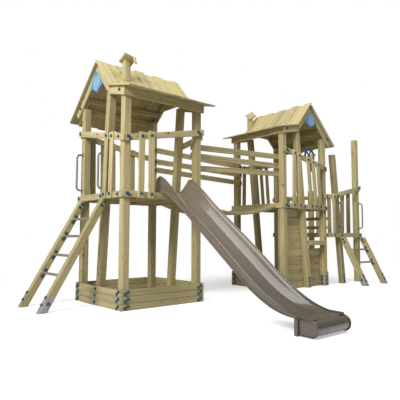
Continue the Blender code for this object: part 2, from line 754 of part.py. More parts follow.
def rung(mesh, start, end):
    """Round rung with a flange against the inner face of each rail, its ends let into them."""
    start, end = Vector(start), Vector(end)
    length = (end - start).length
    profile = [(0, -LET_IN * 4), (RUNG_RADIUS, -LET_IN * 4), (RUNG_RADIUS, -LET_IN),
               (FLANGE_RADIUS, -LET_IN), (FLANGE_RADIUS, FLANGE), (RUNG_RADIUS, FLANGE + 0.002),
               (RUNG_RADIUS, length - FLANGE - 0.002), (FLANGE_RADIUS, length - FLANGE),
               (FLANGE_RADIUS, length + LET_IN), (RUNG_RADIUS, length + LET_IN),
               (RUNG_RADIUS, length + LET_IN * 4), (0, length + LET_IN * 4)]
    lathe(mesh, profile, start, end - start, segments=20)


def build_ladders(wood):
    slope = 1.759
    inner_faces = (0.385 + LADDER_THICK, 1.022)
    rails = [ladder_rail("xz", -0.912, slope, DECK_Z - BEAM_HIGH - GAP, -INNER, 0.385,
                         inner_faces[0]),
             ladder_rail("xz", -0.912, slope, DECK_Z - BEAM_HIGH - GAP, -INNER, inner_faces[1],
                         inner_faces[1] + LADDER_THICK)]
    rungs = [part(rung, (-0.912 + LADDER_WIDE / 2 + z / slope, inner_faces[0], z),
                  (-0.912 + LADDER_WIDE / 2 + z / slope, inner_faces[1], z))
             for z in (0.43, 0.67, 0.92, 1.155)]
    piece("left_ladder", wood, [rails, rungs])
    slope = 2.02
    top = LOW_DECK_Z - BEAM_HIGH - GAP
    left, right = 4.887, 5.600
    half = LADDER_THICK / 2
    foot = -0.600
    rails = [ladder_rail("yz", foot, slope, top, -INNER, left - half, left + half),
             ladder_rail("yz", foot, slope, top, -INNER, right - half, right + half)]
    rungs = [part(rung, (left + half, foot + LADDER_WIDE / 2 + z / slope, z),
                  (right - half, foot + LADDER_WIDE / 2 + z / slope, z)) for z in (0.42, 0.665)]
    piece("right_ladder", wood, [rails, rungs])


# Grab handles


def handle(name, place, face, low, high, outward, steel):
    """Bent tube with a round flange at each end, standing off a post face."""
    x, y = place
    start = Vector((x, y, 0)) + Vector(outward) * (face + GAP)
    reach = Vector(outward) * HANDLE_OUT
    corners = [start + Vector((0, 0, low)), start + reach + Vector((0, 0, low)),
               start + reach + Vector((0, 0, high)), start + Vector((0, 0, high))]
    path = rounded_path([corners[0] + Vector(outward) * 0.003] + corners[1:3]
                        + [corners[3] + Vector(outward) * 0.003], 0.050)
    bar = [part(tube, path, HANDLE_RADIUS)]
    plate = [(0, 0), (FLANGE_RADIUS, 0), (FLANGE_RADIUS, FLANGE * 0.6), (0.024, FLANGE), (0, FLANGE)]
    flanges = [part(lathe, plate, corners[index], outward) for index in (0, 3)]
    piece(name, steel, [bar, flanges])


def build_handles(steel):
    lean = lean_at(LEAN_FIRST, 1.56)
    handle("left_ladder_handle_back", (0, TOWER_DEEP - 0.005), FACE, 1.58, 2.10, (-1, 0, 0), steel)
    handle("left_ladder_handle_front", (0, (lean + lean_at(LEAN_FIRST, 2.04)) / 2), FACE, 1.56,
           2.04, (-1, 0, 0), steel)
    handle("right_ladder_handle_right", (SIDE_X + 0.005, 0), FACE, 1.09, 1.60, (0, -1, 0), steel)
    handle("right_ladder_handle_left", ((lean_at(SIDE_LEAN, 1.12) + lean_at(SIDE_LEAN, 1.58)) / 2,
                                        0), FACE, 1.12, 1.58, (0, -1, 0), steel)


# Ship's wheel


def wheel_rim(mesh, centre):
    steps = 10
    profile = [(WHEEL_RADIUS + WHEEL_TUBE * math.cos(2 * math.pi * k / steps),
                WHEEL_TUBE * math.sin(2 * math.pi * k / steps)) for k in range(steps)]
    lathe(mesh, profile, centre, (0, 1, 0), segments=36)


def wheel_spoke(mesh, centre, angle):
    """Turned spoke from the hub out through the rim, swelling into a hand grip."""
    way = Vector((math.cos(angle), 0, math.sin(angle)))
    profile = [(0, 0.016), (0.007, 0.016), (0.009, 0.07), (0.007, 0.115), (0.007, 0.146),
               (0.011, 0.154), (0.012, 0.168), (0.009, WHEEL_GRIP - 0.003), (0, WHEEL_GRIP)]
    lathe(mesh, profile, centre, way, segments=12)


def build_wheel(paint, wood, centre_y):
    x, z = WHEEL_AT
    centre = (x, centre_y, z)
    bore = AXLE_RADIUS + AXLE_PLAY
    hub = [(bore, -0.020), (0.026, -0.020), (0.030, -0.015), (0.030, 0.015), (0.022, 0.024),
           (0.012, 0.028), (0, 0.028), (0, 0.020), (bore, 0.020)]
    piece("ships_wheel", paint,
          [[part(wheel_rim, centre)],
           [part(wheel_spoke, centre, 2 * math.pi * (k + 0.25) / WHEEL_SPOKES)
            for k in range(WHEEL_SPOKES)],
           [part(hub_shell, hub, centre)]], origin=centre)
    low = line_at((SECOND_X - FACE, 2.45), (SECOND_X + TOWER_LONG + FACE, 2.202), x) - 0.16
    board = [part(box, (x - SLAT_WIDE / 2, x + SLAT_WIDE / 2), (-FACE, -FACE + BOARD),
                  (low, z + 0.045))]
    reach = centre_y + 0.0195
    axle = [(0, -FACE + BOARD / 2 - centre_y), (AXLE_RADIUS, -FACE + BOARD / 2 - centre_y),
            (AXLE_RADIUS, reach - centre_y - 0.001), (0, reach - centre_y - 0.001)]
    collar = [(0, -FACE + BOARD / 2 - centre_y), (0.020, -FACE + BOARD / 2 - centre_y),
              (0.020, -0.0205), (0, -0.0205)]
    piece("ships_wheel_bracket", wood, [board, [part(lathe, collar, centre, (0, 1, 0))],
                                        [part(lathe, axle, centre, (0, 1, 0))]])


def hub_shell(mesh, profile, centre):
    """Hub with a blind bore that turns on the axle."""
    outer = [point for point in profile if point[0] > 0 or point[1] > 0.02]
    closed = [(0, 0.020), (AXLE_RADIUS + AXLE_PLAY, 0.020), (AXLE_RADIUS + AXLE_PLAY, -0.020)]
    ring = closed + outer[1:-2] + [(0, 0.028)]
    lathe(mesh, ring, centre, (0, 1, 0))


# Hanging bridge


def bridge_line(x):
    """Height of the straps: a parabola that hangs between the two deck beams."""
    left, right = TOWER_LONG + OUTER, SECOND_X - OUTER
    share = (x - left) / (right - left)
    return BRIDGE_END_Z - BRIDGE_PLANK_THICK - 4 * BRIDGE_SAG * share * (1 - share)


def strap(mesh, places, low):
    top = [(x, bridge_line(x) + LET_IN) for x in places]
    under = [(x, z - STRAP_THICK - LET_IN) for x, z in reversed(top)]
    prism(mesh, "xz", top + under, low, low + STRAP_WIDE, edge=0)


def bridge_plank(mesh, x):
    slope = (bridge_line(x + 0.01) - bridge_line(x - 0.01)) / 0.02
    way = np.array((1.0, slope)) / math.hypot(1.0, slope)
    up = np.array((-way[1], way[0]))
    middle = np.array((x, bridge_line(x)))
    half = BRIDGE_PLANK / 2
    outline = [middle - way * half, middle + way * half,
               middle + way * half + up * BRIDGE_PLANK_THICK,
               middle - way * half + up * BRIDGE_PLANK_THICK]
    prism(mesh, "xz", [tuple(point) for point in outline], *BRIDGE_SIDES)


def build_bridge(wood):
    """Two half decks that hang from the tower beams and meet in the middle."""
    left, right = TOWER_LONG + OUTER, SECOND_X - OUTER
    middle = (left + right) / 2
    pitch = (middle - left - 0.004) / BRIDGE_PLANKS
    for name, start, way in (("bridge_deck_left_half", left, 1), ("bridge_deck_right_half", right, -1)):
        places = [start + way * (0.004 + pitch * (index + 0.5)) for index in range(BRIDGE_PLANKS)]
        ends = np.linspace(start + way * 0.002, middle - way * BRIDGE_PIVOT_GAP, 19)
        ends = sorted(float(x) for x in ends)
        straps = [part(strap, ends, low) for low in (BRIDGE_SIDES[0] + 0.06,
                                                     BRIDGE_SIDES[1] - 0.06 - STRAP_WIDE)]
        planks = [part(bridge_plank, x) for x in places]
        piece(name, wood, [planks, straps], origin=(start, TOWER_DEEP / 2, bridge_line(start)))
    rails = (("front", (INNER, OUTER), ((2.23, 2.32), (2.10, 2.155), (1.915, 2.02))),
             ("back", (TOWER_DEEP - OUTER, TOWER_DEEP - INNER),
              ((2.33, 2.25), (2.14, 2.10), (2.005, 1.94))))
    for side, faces, heights in rails:
        for level, (start_z, end_z) in zip(("top", "middle", "low"), heights):
            steps = [rail("xz", (TOWER_LONG - FACE, start_z), (SECOND_X + FACE, end_z), *faces)]
            piece(f"bridge_rail_{side}_{level}", wood, [steps])


# Front boarding of the right tower


def build_siding(wood):
    """Boards behind the front posts: full height in the left bay, knee high in the right one."""
    course_high = 0.140
    groups = [[], []]
    low_top = 0.756
    full_top = DECK_Z - BEAM_HIGH - 0.012
    left = SECOND_X - FACE
    right = FAR_X + FACE
    course = 0
    z = 0.0
    while z < full_top - 0.01:
        top = min(z + course_high, full_top)
        end = right if top < low_top + 0.001 else SECOND_X + lean_at(LEAN_SECOND, z) + FACE - 0.02
        outline = [(left, z), (end, z), (end, top + LET_IN), (left, top + LET_IN)]
        groups[course % 2].append(part(prism, "xz", outline, INNER, OUTER))
        z += course_high
        course += 1
    piece("right_tower_siding", wood, groups)
    sill_z = (0.762, 0.845)
    lean_edge = [SECOND_X + lean_at(LEAN_SECOND, z) + FACE + 0.002 for z in sill_z]
    outline = [(lean_edge[0], sill_z[0]), (FAR_X - FACE - GAP, sill_z[0]),
               (FAR_X - FACE - GAP, sill_z[1]), (lean_edge[1], sill_z[1])]
    piece("right_tower_counter", wood, [[part(prism, "xz", outline, -OUTER - 0.03, OUTER)]])


def build_step_bars(wood):
    """Climbing bars between the low deck and the right tower's deck, on one upright."""
    x = (FAR_X + INNER, FAR_X + OUTER)
    bars = [part(box, x, (-FACE, TOWER_DEEP + FACE), (z - 0.030, z + 0.030)) for z in (1.09, 1.26)]
    upright = [part(box, (FAR_X + FACE - 0.030, FAR_X + INNER + LET_IN),
                    (0.56 - FACE, 0.56 + FACE), (LOW_DECK_Z + 0.01, DECK_Z - BEAM_HIGH - 0.01))]
    piece("side_step_bars", wood, [bars, upright])


# Slide


def slide_stations():
    """Rows of the chute: y, rim height, floor height, taken from the photo's side outline."""
    rim = np.array(((0.050, 1.500), (0.045, 1.600), (0.020, 1.690), (-0.020, 1.725), (-0.060, 1.725),
                    (-0.110, 1.700), (-0.170, 1.662), (-0.290, 1.570), (-0.410, 1.474),
                    (-0.590, 1.318), (-0.840, 1.130), (-1.090, 0.944), (-1.270, 0.806),
                    (-1.440, 0.672), (-1.580, 0.558), (-1.680, 0.482), (-1.780, 0.410),
                    (-1.880, 0.346), (-2.000, 0.278), (-2.120, 0.222), (-2.240, 0.184),
                    (-2.340, 0.170), (-2.440, 0.166)))
    floor = np.array(((0.050, 1.505), (-0.110, 1.505), (-0.170, 1.490), (-0.250, 1.440),
                      (-0.520, 1.262), (-1.420, 0.562), (-1.600, 0.420), (-1.750, 0.320),
                      (-1.890, 0.245), (-2.010, 0.194), (-2.130, 0.166), (-2.260, 0.152),
                      (-2.440, 0.147)))
    return rim, floor


def slide_row(y, rim_z, floor_z, upper):
    """Section points from one lip to the other along the outer or the inner face of the shell."""
    depth = max(rim_z - floor_z, 0.012)
    bottom = SLIDE_HALF - 0.050
    top = SLIDE_HALF - SLIDE_BEAD
    corner = min(0.040, depth * 0.45)
    inset = SLIDE_SHELL if upper else 0.0
    lift = SLIDE_SHELL if upper else 0.0
    half = []
    for step in range(5):
        angle = math.radians(-90 + 70 * step / 4)
        half.append((bottom - inset - corner + corner * math.cos(angle),
                     floor_z + lift + corner + corner * math.sin(angle)))
    half.append((top - inset, rim_z - 0.5 * SLIDE_BEAD if not upper else rim_z))
    points = [(-a, b) for a, b in reversed(half)] + half
    return [(SLIDE_MIDDLE + a, y, b) for a, b in points]


def slide_shell(mesh):
    """Chute as a thin closed shell: outer and inner skins joined along the lips and the ends."""
    rim, floor = slide_stations()
    rows = sorted(set(rim[:, 0].tolist() + floor[:, 0].tolist()), reverse=True)
    outer, inner = [], []
    for y in rows:
        rim_z = float(np.interp(-y, -rim[:, 0], rim[:, 1]))
        floor_z = float(np.interp(-y, -floor[:, 0], floor[:, 1]))
        rim_z = max(rim_z, floor_z + 0.026)
        outer.append([mesh.verts.new(point) for point in slide_row(y, rim_z, floor_z, False)])
        inner.append([mesh.verts.new(point) for point in slide_row(y, rim_z, floor_z, True)])
    made = []
    for skin in (outer, inner):
        for before, after in zip(skin, skin[1:]):
            for k in range(len(before) - 1):
                made.append(mesh.faces.new((before[k], before[k + 1], after[k + 1], after[k])))
    for face in made:
        face.smooth = True
    for k in (0, -1):
        for index in range(len(rows) - 1):
            made.append(mesh.faces.new((outer[index][k], outer[index + 1][k],
                                        inner[index + 1][k], inner[index][k])))
    for index in (0, -1):
        for k in range(len(outer[0]) - 1):
            made.append(mesh.faces.new((outer[index][k], outer[index][k + 1],
                                        inner[index][k + 1], inner[index][k])))
    bmesh.ops.recalc_face_normals(mesh, faces=made)


def slide_lip(mesh, side):
    """Rolled bead along one rim, from the foot of the ear down to the exit."""
    rim, _ = slide_stations()
    x = SLIDE_MIDDLE + side * (SLIDE_HALF - SLIDE_BEAD)
    path = [(x, float(y), float(z)) for y, z in rim[1:]]
    path[0] = (x, 0.046, 1.560)
    tube(mesh, path, SLIDE_BEAD, segments=14)


def exit_outline(inset):
    """Side view of the rounded exit box: a flat back and a D-shaped front."""
    radius = 0.083 - inset
    centre_y, centre_z = -2.437, 0.085
    top = [(-2.262 - inset, centre_z + radius)]
    arc = [(centre_y - radius * math.sin(math.radians(a)), centre_z + radius * math.cos(
        math.radians(a))) for a in range(0, 181, 15)]
    return top + arc + [(-2.262 - inset, centre_z - radius)]


def slide_exit(mesh):
    """The closed exit box below and in front of the run-out."""
    prism(mesh, "yz", exit_outline(0.012), SLIDE_MIDDLE - SLIDE_HALF + 0.014,
          SLIDE_MIDDLE + SLIDE_HALF - 0.014, edge=0)


def slide_exit_rim(mesh, side):
    """Raised D-shaped rim round one side plate of the exit."""
    outer = exit_outline(0.0)
    inner = exit_outline(0.020)
    low = SLIDE_MIDDLE + side * (SLIDE_HALF - 0.024)
    high = SLIDE_MIDDLE + side * (SLIDE_HALF + 0.003)
    count = len(outer)
    rings = [[mesh.verts.new((x, y, z)) for y, z in outline]
             for x, outline in ((low, outer), (high, outer), (high, inner), (low, inner))]
    made = []
    for before, after in zip(rings, rings[1:] + rings[:1]):
        made += ring_faces(mesh, before, after, count)
    bmesh.ops.recalc_face_normals(mesh, faces=made)


def build_slide(plastic):
    sides = (-1, 1)
    middles = [SLIDE_MIDDLE + side * (SLIDE_HALF + 0.003) for side in sides]
    feet = [part(box, (x - 0.013, x + 0.013), (-2.300, -2.255), (0.0, 0.158), edge=0.004)
            for x in middles]
    item = piece("slide", plastic,
                 [[part(slide_shell)],
                  [part(slide_lip, side) for side in sides],
                  [part(slide_exit)] + feet,
                  [part(slide_exit_rim, side) for side in sides]])
    return item


def centre_on_footprint():
    """Move everything so that the middle of the whole footprint is the origin."""
    bpy.context.view_layer.update()
    depsgraph = bpy.context.evaluated_depsgraph_get()
    corners = []
    for item in bpy.data.objects:
        if not item.hide_render:
            shown = item.evaluated_get(depsgraph)
            corners += [shown.matrix_world @ Vector(corner) for corner in shown.bound_box]
    corners = np.array(corners)
    middle = (corners.min(axis=0) + corners.max(axis=0)) / 2
    low = corners.min(axis=0)[2]
    for item in bpy.data.objects:
        item.location = item.location - Vector((middle[0], middle[1], low))
    return middle


def main():
    clear_scene()
    pine = principled("pine", PINE, 0.75, 0.0)
    pale_pine = principled("pale pine", PALE_PINE, 0.75, 0.0)
    taupe = principled("taupe plastic", TAUPE, 0.35, 0.0)
    tube_paint = principled("tube paint", TUBE, 0.40, 0.6)
    petrol = principled("petrol plastic", PETROL, 0.40, 0.0)
    build_posts(pine)
    build_rim("left_tower_sandbox_planks", 0, ("front",), pale_pine)
    build_rim("right_tower_rim_planks", SECOND_X, (), pale_pine)
    build_decks(pale_pine)
    build_railings(pale_pine)
    build_roofs(pale_pine)
    build_ladders(pine)
    build_handles(tube_paint)
    build_wheel(petrol, pine, 0.012)
    build_bridge(pine)
    build_siding(pine)
    build_step_bars(pine)
    build_slide(taupe)
    centre_on_footprint()


main()
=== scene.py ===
"""Dresses the play tower's solids: sawn pine, moulded plastic, steel, fixings, signs, stage."""
import math

import bpy
import numpy as np
from mathutils import Matrix, Vector


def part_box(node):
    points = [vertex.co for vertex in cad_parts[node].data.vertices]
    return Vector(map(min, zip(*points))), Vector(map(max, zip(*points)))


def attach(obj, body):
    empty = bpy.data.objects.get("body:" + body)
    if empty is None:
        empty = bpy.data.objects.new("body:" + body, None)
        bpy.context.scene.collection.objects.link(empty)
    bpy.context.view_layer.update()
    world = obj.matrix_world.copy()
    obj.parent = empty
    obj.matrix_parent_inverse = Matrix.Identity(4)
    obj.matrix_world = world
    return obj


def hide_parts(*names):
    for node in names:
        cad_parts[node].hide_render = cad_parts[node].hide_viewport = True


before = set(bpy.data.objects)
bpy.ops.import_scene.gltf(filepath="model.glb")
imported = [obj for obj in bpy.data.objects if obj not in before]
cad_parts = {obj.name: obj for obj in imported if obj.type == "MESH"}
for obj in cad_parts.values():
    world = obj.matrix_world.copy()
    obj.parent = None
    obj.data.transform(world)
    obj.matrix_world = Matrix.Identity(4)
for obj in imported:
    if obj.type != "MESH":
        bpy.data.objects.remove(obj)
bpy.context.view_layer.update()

bl_info = {
    "name": "Play tower dressing",
    "version": (1, 0, 0),
    "blender": (4, 5, 0),
    "location": "3D View > Sidebar > Play tower",
    "description": "Materials, fixings, moulded parts and stage for the play tower",
    "category": "Object",
}


def middle_of(node):
    """Middle of a CAD node's box."""
    low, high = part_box(node)
    return (np.array(low) + np.array(high)) / 2


# Plan metres: the origin is the middle of the left tower's near left post, on the ground
ORIGIN = middle_of("left_tower_post_front_left") * (1.0, 1.0, 0.0)
TOWER_LONG = middle_of("left_tower_post_front_right")[0] - ORIGIN[0]
TOWER_DEEP = middle_of("left_tower_post_back_left")[1] - ORIGIN[1]
SECOND_X = middle_of("right_tower_post_front_left")[0] - ORIGIN[0]
SIDE_X = middle_of("side_deck_post_front_right")[0] - ORIGIN[0]
FAR_X = SECOND_X + TOWER_LONG
BODY = "tower_frame"
X_WAY, Y_WAY, Z_WAY = np.eye(3)
# The ways along a wall and out of it, by the name of the wall's plane
WALLS = {"xz": (X_WAY, Y_WAY), "yz": (Y_WAY, X_WAY)}

# How far the layers of timber stand out from the middle of a post
FACE = 0.050
INNER = 0.0503
RIM_OUT = 0.0773
BEAM_OUT = 0.0783
RAIL_FACE = 0.0796
SLAT_FACE = 0.0797
SLAT_OUT = 0.1006
SLAT_THICK = 0.022
BACK_FACE = TOWER_DEEP + FACE
# Heights of the deck beams' middles, half their width, and the width of a plank
BEAM_Z = 1.4575
LOW_BEAM_Z = 0.9475
BEAM_HALF = 0.0425
PLANK = 0.087
# How far a slat reaches past its rail's middle; where a floor between the posts starts, its gaps
SLAT_PAST = 0.0555
FLOOR_IN = 0.0583
FLOOR_GAP = 0.008
WHEEL_X, WHEEL_Z = SECOND_X + 0.81, 2.42

# Rails in their wall's plane: place along the wall and height, at both ends
LEFT_RAIL = ((-BEAM_OUT, 2.175), (BACK_FACE + 0.028, 2.425))
RIGHT_RAIL = ((SECOND_X - FACE, 2.450), (FAR_X + FACE, 2.202))
SIDE_RAIL = ((-FACE, 1.90), (BACK_FACE, 1.74))
# Slats bolted over those rails: place of the foot and of the head along the wall
LEFT_SLATS = ((0.222, 0.192), (0.378, 0.333))
RIGHT_SLATS = tuple((SECOND_X + foot, SECOND_X + head) for foot, head in (
    (0.202, 0.223), (0.367, 0.356), (0.713, 0.619), (0.857, 0.773), (0.992, 0.930)))
SIDE_SLATS = ((0.235, 0.225), (0.385, 0.365), (0.535, 0.525), (0.69, 0.70), (0.845, 0.835),
              (0.99, 1.00))

# Width of a ladder's rails along its run, and their thickness across it
LADDER_WIDE = 0.101
LADDER_THICK = 0.084


class Ladder:
    """Measures of a leaning ladder, for its rungs, plates, shoes and caps.

    run and across are its ways on the ground, slope the rise over run of the rails, foot where
    they meet the ground, rails the lower faces of the two rails across, rungs the heights of the
    rungs and bolts_z that of the upper bolts."""

    def __init__(self, run, across, slope, foot, rails, rungs, bolts_z):
        self.run, self.across, self.slope, self.foot = run, across, slope, foot
        self.faces = (rails[0], rails[0] + LADDER_THICK, rails[1], rails[1] + LADDER_THICK)
        self.rungs, self.bolts_z = rungs, bolts_z
        self.up = (run + Z_WAY * slope) / math.hypot(1, slope)
        self.out = (Z_WAY - run * slope) / math.hypot(1, slope)

    def front(self, z, back=0.0):
        """Place on the rails' upper edge at a height, or that far behind it."""
        return self.run * (self.foot + z / self.slope + back) + Z_WAY * z

    def middle(self, z):
        """Place in the middle of the rails' width at a height."""
        return self.run * (self.foot + LADDER_WIDE / 2 + z / self.slope) + Z_WAY * z


LADDERS = {
    "left": Ladder(X_WAY, Y_WAY, 1.759, -0.912, (0.385, TOWER_DEEP - 0.088),
                   (0.430, 0.670, 0.920, 1.155), 1.375),
    "right": Ladder(Y_WAY, X_WAY, 2.020, -0.600, (FAR_X + 0.485, SIDE_X - 0.002),
                    (0.420, 0.665), 0.865),
}


# Settings


class TimberSettings(bpy.types.PropertyGroup):
    """Colours and grain of the pine"""
    post_colour: bpy.props.FloatVectorProperty(
        name="Post colour", description="Treated pine of the posts and beams", size=3,
        subtype="COLOR", default=(0.520, 0.435, 0.235), min=0.0, max=1.0)
    board_colour: bpy.props.FloatVectorProperty(
        name="Board colour", description="Paler pine of the boards and slats", size=3,
        subtype="COLOR", default=(0.560, 0.470, 0.262), min=0.0, max=1.0)
    knot_share: bpy.props.FloatProperty(
        name="Knots", description="Share of the places for a knot that hold one",
        default=0.55, min=0.0, max=1.0, subtype="FACTOR")
    grain_pitch: bpy.props.FloatProperty(
        name="Grain pitch", description="Usual distance between growth rings on a face",
        default=0.012, min=0.004, max=0.05, unit="LENGTH")


class FixingSettings(bpy.types.PropertyGroup):
    """Size and colours of the bolt caps and plates"""
    cap_radius: bpy.props.FloatProperty(
        name="Cap radius", description="Radius of a plastic bolt cap", default=0.0225,
        min=0.010, max=0.030, unit="LENGTH")
    cap_height: bpy.props.FloatProperty(
        name="Cap height", description="How far a bolt cap stands off the timber",
        default=0.021, min=0.005, max=0.030, unit="LENGTH")
    cap_colour: bpy.props.FloatVectorProperty(
        name="Cap colour", description="Petrol-blue plastic of the bolt caps", size=3,
        subtype="COLOR", default=(0.007, 0.055, 0.086), min=0.0, max=1.0)
    plate_colour: bpy.props.FloatVectorProperty(
        name="Plate colour", description="Dull coated steel of the foot plates", size=3,
        subtype="COLOR", default=(0.330, 0.300, 0.285), min=0.0, max=1.0)


class MouldedSettings(bpy.types.PropertyGroup):
    """Colours of the moulded and coated parts"""
    slide_colour: bpy.props.FloatVectorProperty(
        name="Slide colour", description="Taupe plastic of the slide", size=3,
        subtype="COLOR", default=(0.162, 0.130, 0.092), min=0.0, max=1.0)
    tube_colour: bpy.props.FloatVectorProperty(
        name="Tube colour", description="Coating of the grab handles and the rungs", size=3,
        subtype="COLOR", default=(0.255, 0.225, 0.195), min=0.0, max=1.0)
    wheel_colour: bpy.props.FloatVectorProperty(
        name="Wheel colour", description="Plastic of the ship's wheel", size=3,
        subtype="COLOR", default=(0.010, 0.080, 0.140), min=0.0, max=1.0)
    sign_colour: bpy.props.FloatVectorProperty(
        name="Sign colour", description="Sky blue of the bare gable signs", size=3,
        subtype="COLOR", default=(0.075, 0.300, 0.520), min=0.0, max=1.0)


class StageSettings(bpy.types.PropertyGroup):
    """Lights and lens of the picture"""
    key_strength: bpy.props.FloatProperty(
        name="Key light", description="Power of the large soft lamp on the left, in watts",
        default=1180.0, min=0.0, max=10000.0)
    fill_strength: bpy.props.FloatProperty(
        name="Fill light", description="Strength of the even light from all round",
        default=0.34, min=0.0, max=3.0)
    lens: bpy.props.FloatProperty(
        name="Lens", description="Focal length for a 36 mm wide frame, in millimetres",
        default=39.85, min=10.0, max=200.0)


# Surfaces worked out as whole arrays


def grid_faces(rows, columns, wrap_rows=False, wrap_columns=False):
    """Four-cornered faces of a grid of rows x columns points, closed round where asked."""
    row = np.arange(rows if wrap_rows else rows - 1)[:, None]
    column = np.arange(columns if wrap_columns else columns - 1)[None, :]
    after_row, after_column = (row + 1) % rows, (column + 1) % columns
    corners = [row * columns + column, row * columns + after_column,
               after_row * columns + after_column, after_row * columns + column]
    return np.stack(np.broadcast_arrays(*corners), axis=-1).reshape(-1, 4)


def surface(points, wrap_rows=False, wrap_columns=False, cap_ends=False):
    """Points (rows, columns, 3) and their faces; cap_ends closes the first and last row."""
    rows, columns = points.shape[:2]
    faces = [tuple(face) for face in grid_faces(rows, columns, wrap_rows, wrap_columns).tolist()]
    if cap_ends:
        faces.append(tuple(range(columns))[::-1])
        faces.append(tuple(range((rows - 1) * columns, rows * columns)))
    return points.reshape(-1, 3), faces


def loft(rows):
    """Surface through closed sections in their order, with both end sections closed."""
    return surface(np.stack(rows), wrap_columns=True, cap_ends=True)


def circle(count):
    """Angles of evenly spread places round a circle, and their (cos, sin) pairs."""
    angle = np.linspace(0, 2 * math.pi, count, endpoint=False)
    return angle, np.stack([np.cos(angle), np.sin(angle)], axis=1)


def frames_for(ways):
    """Turning matrices (n, 3, 3) whose third column is each given direction."""
    ways = np.atleast_2d(np.asarray(ways, float))
    ways = ways / np.linalg.norm(ways, axis=1, keepdims=True)
    helper = np.where(np.abs(ways[:, 2:3]) < 0.9, Z_WAY, Y_WAY)
    side = np.cross(helper, ways)
    side /= np.linalg.norm(side, axis=1, keepdims=True)
    return np.stack([side, np.cross(ways, side), ways], axis=2)


def turned(profile, segments=16):
    """Round surface: radius r and height h of the profile, swept as (r cos a, r sin a, h)."""
    profile = np.asarray(profile, float)
    angle = circle(segments)[0]
    radius, height = profile[:, :1], profile[:, 1:]
    rows = [radius * np.cos(angle), radius * np.sin(angle), height + 0 * angle]
    return loft(np.stack(rows, axis=2))


def set_out(shape, places, turns):
    """Copies of the shape: point p goes to place + turn p, for every place and its turn."""
    points, faces = shape
    everything = np.einsum("nij,vj->nvi", turns, points) + places[:, None, :]
    all_faces = [tuple(index + len(points) * number for index in face)
                 for number in range(len(places)) for face in faces]
    return everything.reshape(-1, 3), all_faces


def repeated(shape, places, ways):
    """The shape set at every place with its own z along the given direction."""
    places = np.atleast_2d(np.asarray(places, float))
    return set_out(shape, places, frames_for(np.broadcast_to(ways, places.shape)))


def placed(shape, place, normal, along):
    """The shape set at one place, its z along the normal and its x along the given way."""
    turn = np.stack([along, np.cross(normal, along), normal], axis=1)
    return set_out(shape, np.asarray(place, float)[None], turn[None])


def swept_tube(path, radius, segments):
    """Tube round a path: centre + r (cos a side + sin a other), side and other carried along."""
    path = np.asarray(path, float)
    along = np.gradient(path, axis=0)
    along /= np.linalg.norm(along, axis=1, keepdims=True)
    helper = Z_WAY if abs(along[0, 2]) < 0.9 else Y_WAY
    bend = np.cross(path[len(path) // 2] - path[0], path[-1] - path[0])
    if np.linalg.norm(bend) > 1e-6:
        helper = bend / np.linalg.norm(bend)
    side = np.cross(helper, along)
    side /= np.linalg.norm(side, axis=1, keepdims=True)
    other = np.cross(along, side)
    angle = circle(segments)[0][None, :, None]
    radius = np.broadcast_to(np.asarray(radius, float), (len(path),))[:, None, None]
    ring = np.cos(angle) * side[:, None] + np.sin(angle) * other[:, None]
    return loft(path[:, None] + radius * ring)


def rounded_path(corners, radius, steps):
    """Straight runs joined by arcs of the given radius at every inner corner."""
    corners = [np.asarray(corner, float) for corner in corners]
    path = [corners[0][None]]
    for before, corner, after in zip(corners, corners[1:], corners[2:]):
        into = (corner - before) / np.linalg.norm(corner - before)
        out = (after - corner) / np.linalg.norm(after - corner)
        half = math.acos(np.clip(into @ out, -1, 1)) / 2
        share = np.linspace(0, 2 * half, steps + 1)[:, None]
        inward = out - into * (into @ out)
        inward /= np.linalg.norm(inward)
        start = corner - into * radius * math.tan(half)
        path.append(start + radius * (np.sin(share) * into + (1 - np.cos(share)) * inward))
    path.append(corners[-1][None])
    return np.concatenate(path)


def rounded_outline(length, width, corner, steps=5):
    """Outline of a rounded rectangle: corner centres plus corner (cos a, sin a)."""
    angle = np.linspace(0, math.pi / 2, steps)
    quarter = corner * np.stack([np.cos(angle), np.sin(angle)], axis=1)
    centre = np.array((length / 2 - corner, width / 2 - corner))
    flipped = quarter[::-1]
    return np.concatenate([centre + quarter, centre * (-1, 1) + flipped * (-1, 1),
                           -centre - quarter, centre * (1, -1) + flipped * (1, -1)])


def plate(outline, thick, bevel):
    """Flat plate from z = 0 to thick with its upper edge drawn in by the bevel along its rows."""
    outline = np.asarray(outline, float)
    middle = (outline.max(axis=0) + outline.min(axis=0)) / 2
    reach = np.abs(outline - middle).max(axis=0)
    rows = []
    for inset, height in ((0, 0), (0, thick - bevel), (0.3 * bevel, thick - 0.3 * bevel),
                          (bevel, thick)):
        flat = middle + (outline - middle) * (1 - inset / reach)
        rows.append(np.column_stack([flat, np.full(len(flat), height)]))
    return loft(rows)


def sawn_board(outline, start, end, across, normal, ease=0.0022):
    """Outline (across, normal) moved from start to end, drawn in a little at both cut ends."""
    outline = np.asarray(outline, float)
    start, way = np.asarray(start, float), np.asarray(end, float) - np.asarray(start, float)
    share = ease / np.linalg.norm(way)
    reach = np.abs(outline).max(axis=0)
    rows = []
    for place, inset in ((0, 1.0), (0.35 * share, 0.35), (share, 0), (0.33, 0), (0.66, 0),
                         (1 - share, 0), (1 - 0.35 * share, 0.35), (1, 1.0)):
        flat = outline * (1 - inset * ease / reach)
        rows.append(start + way * place + flat[:, :1] * across + flat[:, 1:] * normal)
    return loft(rows)


def swept_section(section, way, lengths):
    """Closed section (n, 3) moved along a way: row k is the section plus way times length k."""
    return loft(section + way * np.asarray(lengths)[:, None, None])


